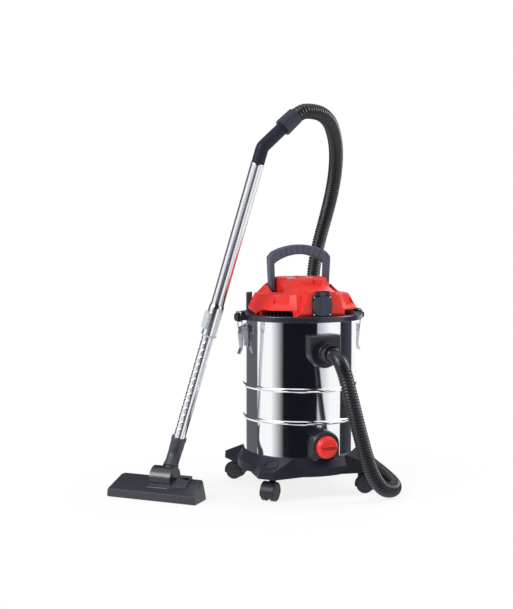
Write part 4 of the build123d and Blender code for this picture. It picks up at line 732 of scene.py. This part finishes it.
line_data.resolution_u = 24
spline = line_data.splines.new("NURBS")
spline.points.add(len(hose_route) - 1)
for point, place in zip(spline.points, hose_route):
    point.co = (*(place * mm), 1)
spline.order_u = 3
spline.use_endpoint_u = True
line = bpy.data.objects.new("hose_line", line_data)
scene.collection.objects.link(line)
bpy.context.view_layer.update()
line_mesh = bpy.data.meshes.new_from_object(line)
hose_path = [vertex.co.copy() for vertex in line_mesh.vertices]
bpy.data.objects.remove(line)
bpy.data.meshes.remove(line_mesh)
hose_runs = [0.0]
for here, there in zip(hose_path, hose_path[1:]):
    hose_runs.append(hose_runs[-1] + (there - here).length)
hose_length = hose_runs[-1]

# One rib is six rings: up from the valley, over a round crest, and down again
rib_pitch = 8.0 * mm
valley_radius = 17.7
rib_rings = (
    (0.0, valley_radius), (0.2, 18.3), (0.36, 19.5), (0.52, 20.0), (0.68, 19.5), (0.84, 18.3),
)
hose_rings = []
for rib in range(int(hose_length / rib_pitch)):
    hose_rings += [((rib + share) * rib_pitch, radius) for share, radius in rib_rings]
hose_rings.append((hose_length, valley_radius))
# The first stretch out of the inlet cuff is drawn nearly smooth: its ribs close up in the tight bend
smooth_radius = 19.3
smooth_end = 100 * mm
ribbed_start = 135 * mm
faintest_ribs = 0.08
hose_sides = 40
last = len(hose_path) - 1
headings = [
    (hose_path[min(at + 1, last)] - hose_path[max(at - 1, 0)]).normalized() for at in range(last + 1)
]
points = []
faces = []
sideways = Vector((1, 0, 0))
leg = 0
for reach, radius in hose_rings:
    ribbed = max(faintest_ribs, min(1.0, (reach - smooth_end) / (ribbed_start - smooth_end)))
    radius = smooth_radius + (radius - smooth_radius) * ribbed
    while leg < last - 1 and hose_runs[leg + 1] < reach:
        leg += 1
    share = (reach - hose_runs[leg]) / (hose_runs[leg + 1] - hose_runs[leg])
    middle = hose_path[leg].lerp(hose_path[leg + 1], share)
    heading = headings[leg].lerp(headings[leg + 1], share).normalized()
    sideways = (sideways - heading * sideways.dot(heading)).normalized()
    upright = heading.cross(sideways)
    for step in range(hose_sides):
        turn = 2 * math.pi * step / hose_sides
        points.append(middle + (sideways * math.cos(turn) + upright * math.sin(turn)) * radius * mm)
for row in range(len(hose_rings) - 1):
    for step in range(hose_sides):
        a = row * hose_sides + step
        b = row * hose_sides + (step + 1) % hose_sides
        faces.append((a, b, b + hose_sides, a + hose_sides))
faces.append(tuple(range(hose_sides - 1, -1, -1)))
faces.append(tuple(range(len(points) - hose_sides, len(points))))
hose_mesh = bpy.data.meshes.new("ribbed_hose")
hose_mesh.from_pydata(points, [], faces)
hose = bpy.data.objects.new("ribbed_hose", hose_mesh)
scene.collection.objects.link(hose)
pick(hose)
bpy.ops.object.shade_smooth_by_angle(angle=math.radians(70))
# Blow-moulded vinyl: black, with one narrow light along the crest of each rib
hose_vinyl = moulded_plastic(
    "black_ribbed_vinyl", "#1B1D25", "#14161C", roughness=0.3, grain_mm=2.0, depth=0.02, shine=0.45
)
seat(hose, "machine", hose_vinyl, "hose_plastic", "hose")

# Bent handle: a charcoal polypropylene elbow pushed into the tube's top, with the hose's upper cuff,
# of PVC, turned on its far end.
bend = moulded("bent_handle_moulding", "bent_handle", edge=0.5, limit=40, smooth=40)
seat(bend, "machine", charcoal_plastic, "black_plastic", "bent_handle")
upper_cuff = moulded("hose_cuff_upper", "hose_cuff_handle", edge=0.6, limit=40, smooth=40)
# Moulded PVC: a lighter charcoal, nearly matt
cuff_plastic = moulded_plastic(
    "charcoal_cuff_pvc", "#3A3E4B", "#33363F", roughness=0.5, grain_mm=1.6, depth=0.08, shine=0.2
)
seat(upper_cuff, "machine", cuff_plastic, "black_plastic", "hose_cuff_handle")

# Outer tube: chromed steel, 35 mm across, flared at its foot over the inner tube and beaded at its
# top. Heights count along the tube from the mouth of the nozzle's sleeve.
tube_foot = Vector((-339.3, 30.1, 151.7))
lengthwise = tube_dir.to_track_quat("Z", "Y")
upper_profile = [
    (16.45, 300), (19.7, 300), (20, 300.4), (20, 375), (19.7, 378), (18.3, 383), (17.6, 386),
    (17.5, 390), (17.5, 764), (17.9, 765.2), (17.9, 767.6), (17.3, 768.8), (16.45, 768.8), (16.45, 300),
]
# Chrome plating: polishing lines run the length of the tube and draw its mirror image out into
# stripes; they are drawn 9 mm apart, far coarser than real ones, so that they show
line_mm = 9.0
line_stretch = 1.5
chrome, tree, shader, position = metal("chromed_steel_tube", "#F0F1F4")
turn_back = join_node(
    tree, "ShaderNodeVectorRotate", {"rotation_type": "EULER_XYZ"}, {"Vector": position}
)
turn_back.inputs["Rotation"].default_value = lengthwise.inverted().to_euler()
draw = join_node(
    tree, "ShaderNodeMapping", {"Scale": (1000 / line_mm, 1000 / line_mm, line_stretch)},
    {"Vector": turn_back.outputs[0]},
)
lines = join_node(tree, "ShaderNodeTexNoise", {"Scale": 1.0, "Detail": 0.0}, {"Vector": draw.outputs[0]})
clean = join_node(
    tree, "ShaderNodeMapRange", {"To Min": 0.14, "To Max": 0.24}, {"Value": lines.outputs["Fac"]}
)
tree.links.new(clean.outputs["Result"], shader.inputs["Roughness"])
polish = join_node(
    tree, "ShaderNodeBump", {"Strength": 0.15, "Distance": 0.001}, {"Height": lines.outputs["Fac"]}
)
tree.links.new(polish.outputs["Normal"], shader.inputs["Normal"])
upper = aim(turned("upper_tube_chrome", upper_profile, sides=96), tube_foot, tube_dir)
seat(upper, "machine", chrome, "chrome_tube", "upper_tube")

# Inner tube: chromed steel, 33 mm across, with a row of detents pressed into the side that faces the
# lock's button. It slides in the outer tube and is pushed into the nozzle's sleeve.
lower_radius = 16.4
lower_bore = 14.2
wall_middle = 15
first_dent = 26.5
dent_pitch = 21
dent_count = 13
dent_depth = 1.6
dent_half = 3
dent_half_turn = 0.9
dent_rings = (-5, -3.4, -2.2, -1.1, 0, 1.1, 2.2, 3.4, 5)
button_dir = Vector((-0.936533, -0.326742, 0.127062))
dents = [first_dent + dent_pitch * notch for notch in range(dent_count)]
lower_profile = [(lower_bore, -40), (16.1, -40), (lower_radius, -39.6)]
for middle in dents:
    lower_profile += [(lower_radius, middle + step) for step in dent_rings]
lower_profile += [(lower_radius, 419.6), (16.1, 420), (lower_bore, 420), (lower_bore, -40)]
lower = turned("lower_tube_chrome", lower_profile, sides=72)
button_side = lengthwise.inverted() @ button_dir
dent_turn = math.atan2(button_side.y, button_side.x)
for vertex in lower.data.vertices:
    radius = math.hypot(vertex.co.x, vertex.co.y)
    off_line = (math.atan2(vertex.co.y, vertex.co.x) - dent_turn + math.pi) % (2 * math.pi) - math.pi
    gap = min(abs(vertex.co.z / mm - middle) for middle in dents)
    if radius > wall_middle * mm and gap < dent_half and abs(off_line) < dent_half_turn:
        fall = math.cos(off_line / dent_half_turn * math.pi / 2)
        press_in(vertex, dent_depth * mm * (1 - (gap / dent_half) ** 2) * fall)
aim(lower, tube_foot, tube_dir)
seat(lower, "lower", chrome, "chrome_tube", "lower_tube")

# Tube lock: a light grey acetal collar round the inner tube, under the outer tube's foot, and a button
# that slides along the flare and lets go of the detents.
collar_profile = [
    (16.45, 296), (20.9, 296), (21.6, 296.7), (21.6, 299.3), (20.9, 300), (16.45, 300), (16.45, 296),
]
# Acetal: pale grey, smooth and slightly waxy
grey_plastic = moulded_plastic(
    "light_grey_acetal", "#C3C8CF", "#B7BCC4", roughness=0.35, grain_mm=1.5, depth=0.08
)
collar = aim(turned("tube_lock_collar", collar_profile, sides=72), tube_foot, tube_dir)
seat(collar, "machine", grey_plastic, "grey_plastic", "lock_collar")
button = moulded("tube_lock_button", "lock_button", edge=1.0)
seat(button, "button", grey_plastic, "grey_plastic", "lock_button")

# Floor nozzle's small parts, charcoal ABS: the barrel that tilts in the head, the sole under it, the
# tread of the pedal that drops the brush, and the rollers at the back.

# Smooth ABS: a charcoal that takes the grey of the room as one broad sheen on its slopes
nozzle_plastic = moulded_plastic(
    "charcoal_nozzle_abs", "#2B2E3A", "#262933", roughness=0.3, grain_mm=1.6, depth=0.003, shine=0.75
)
for name, node, body, edge in (
    ("tilt_barrel_moulding", "tilt_barrel", "barrel", 0.6),
    ("nozzle_sole", "sole_plate", "nozzle", 0.6),
    ("nozzle_pedal_tread", "nozzle_pedal", "pedal", 0.7),
    ("nozzle_roller_pair", "nozzle_rollers", "rollers", 0.6),
):
    piece = moulded(name, node, edge, limit=30)
    seat(piece, body, nozzle_plastic, "charcoal_plastic", node)

# Nozzle neck: a charcoal polypropylene elbow whose collar turns on the barrel's stub and whose sleeve
# takes the inner tube. Collar, bend and sleeve are one smooth skin along its bent middle line.
nozzle_along = Vector((0.744, -0.668, 0)).normalized()
barrel_centre = Vector((-380.789, 9.274, 46.377))
stub_dir = Vector((0.429434, 0.478291, 0.766044))
bend_start = barrel_centre + stub_dir * 55.1
bend_corner = barrel_centre + stub_dir * 70
bend_end = tube_foot - tube_dir * 39.5
bend_radius = 18.7
bend_steps = 12
collar_rings = (
    (31.2, 18), (31.2, 20.9), (31.6, 21.3), (43, 20.5), (43.6, 19.9), (44.5, 18.8), (48, bend_radius),
)
sleeve_rings = (
    (-38.6, 18.8), (-38, 19.2), (-14, 19.7), (-12, 19.8), (-10.6, 20.6), (-10, 20.7), (-0.6, 20.7),
    (0.1, 20), (0.1, 17),
)
neck_sides = 72
neck_rings = [(barrel_centre + stub_dir * reach, stub_dir, radius) for reach, radius in collar_rings]
for step in range(bend_steps + 1):
    share = step / bend_steps
    point = bend_start * (1 - share) ** 2 + bend_corner * 2 * share * (1 - share) + bend_end * share**2
    heading = (bend_corner - bend_start) * (1 - share) + (bend_end - bend_corner) * share
    neck_rings.append((point, heading.normalized(), bend_radius))
neck_rings += [(tube_foot + tube_dir * reach, tube_dir, radius) for reach, radius in sleeve_rings]
ring_gaps = len(neck_rings) - 1
bpy.ops.object.select_all(action="DESELECT")
bpy.ops.mesh.primitive_grid_add(x_subdivisions=neck_sides, y_subdivisions=ring_gaps, size=1)
neck_skin = bpy.context.object
for vertex in neck_skin.data.vertices:
    turn = (vertex.co.x + 0.5) * 2 * math.pi
    point, heading, radius = neck_rings[round((vertex.co.y + 0.5) * ring_gaps)]
    across = heading.cross(nozzle_along).normalized()
    outwards = across * math.cos(turn) + heading.cross(across) * math.sin(turn)
    vertex.co = (point + outwards * radius) * mm
bpy.ops.object.mode_set(mode="EDIT")
bpy.ops.mesh.select_all(action="SELECT")
bpy.ops.mesh.remove_doubles(threshold=1e-6)
bpy.ops.mesh.normals_make_consistent(inside=False)
bpy.ops.object.mode_set(mode="OBJECT")
bpy.ops.object.shade_smooth_by_angle(angle=math.radians(35))
neck = joined("nozzle_neck_moulding", [neck_skin, moulded("neck_core", "nozzle_neck", edge=0)])
# Polypropylene: a lighter, duller charcoal than the head
neck_plastic = moulded_plastic(
    "charcoal_neck_polypropylene", "#363A47", "#313540", roughness=0.5, grain_mm=1.6, depth=0.01,
    shine=0.8,
)
seat(neck, "lower", neck_plastic, "charcoal_plastic", "nozzle_neck")

# Nozzle cover: a wide charcoal ABS moulding on the sole, sloping to the front. Its round housing for
# the barrel stands on the slope with only a thin pad before it, and its two ends lean inwards by a
# quarter of their height above the front edge.
nozzle_front = Vector((-437.5, -35.5, 0))
nozzle_back = Vector((0.668, 0.744, 0)).normalized()
nozzle_half = 131.0
end_depth = 5
rear_corner = 66
lean_start = 12.0
end_lean = 0.25
slope_start = 3
slope_start_z = 23
slope_rise = 27.5 / 69
pad_front = 17
pad_left = -38
pad_right = 26
pad_thickness = 0.5
apron_top_z = 95
barrel_place = (71.2, 12.29, 46.4)
housing_radius = 33.2
housing_half = 60
head = moulded("nozzle_cover_moulding", "nozzle_cover", edge=0)
wedge = block("apron_wedge", 1, 1, 1, (0, 0, 0))
for vertex in wedge.data.vertices:
    behind = pad_front if vertex.co.x < 0 else barrel_place[0]
    along = barrel_place[1] + (pad_left if vertex.co.y < 0 else pad_right)
    slope_top = slope_start_z + slope_rise * (behind - slope_start)
    height = Vector((0, 0, slope_top + pad_thickness if vertex.co.z < 0 else apron_top_z))
    vertex.co = (nozzle_front + nozzle_back * behind + nozzle_along * along + height) * mm
barrel_middle = nozzle_front + nozzle_back * barrel_place[0] + nozzle_along * barrel_place[1]
core_profile = [(housing_radius, -housing_half), (housing_radius, housing_half)]
core = turned("housing_core", core_profile, sides=128)
aim(core, barrel_middle + Vector((0, 0, barrel_place[2])), nozzle_along)
cut(head, cut(wedge, core))
for vertex in head.data.vertices:
    place = vertex.co / mm - nozzle_front
    along = place.dot(nozzle_along)
    behind = place.dot(nozzle_back)
    past_end = abs(along) + max(0.0, behind - rear_corner) > nozzle_half - end_depth
    if past_end and place.z > lean_start:
        vertex.co -= nozzle_along * math.copysign(end_lean * (place.z - lean_start) * mm, along)
rounded(head, 1.6, limit=30)
seat(head, "nozzle", nozzle_plastic, "charcoal_plastic", "nozzle_cover")

# Brush: a strip of black nylon bristle behind the head's front edge, which the pedal lowers through a
# slot in the sole. Bristle looks black and dull, its surface broken up into tufts.
bristles = moulded_plastic(
    "black_bristle", "#1A1A1C", "#101012", roughness=0.7, grain_mm=0.9, depth=0.6
)
brush = moulded("brush_bar", "brush_strip", edge=0.4)
seat(brush, "brush", bristles, "bristle", "brush_strip")
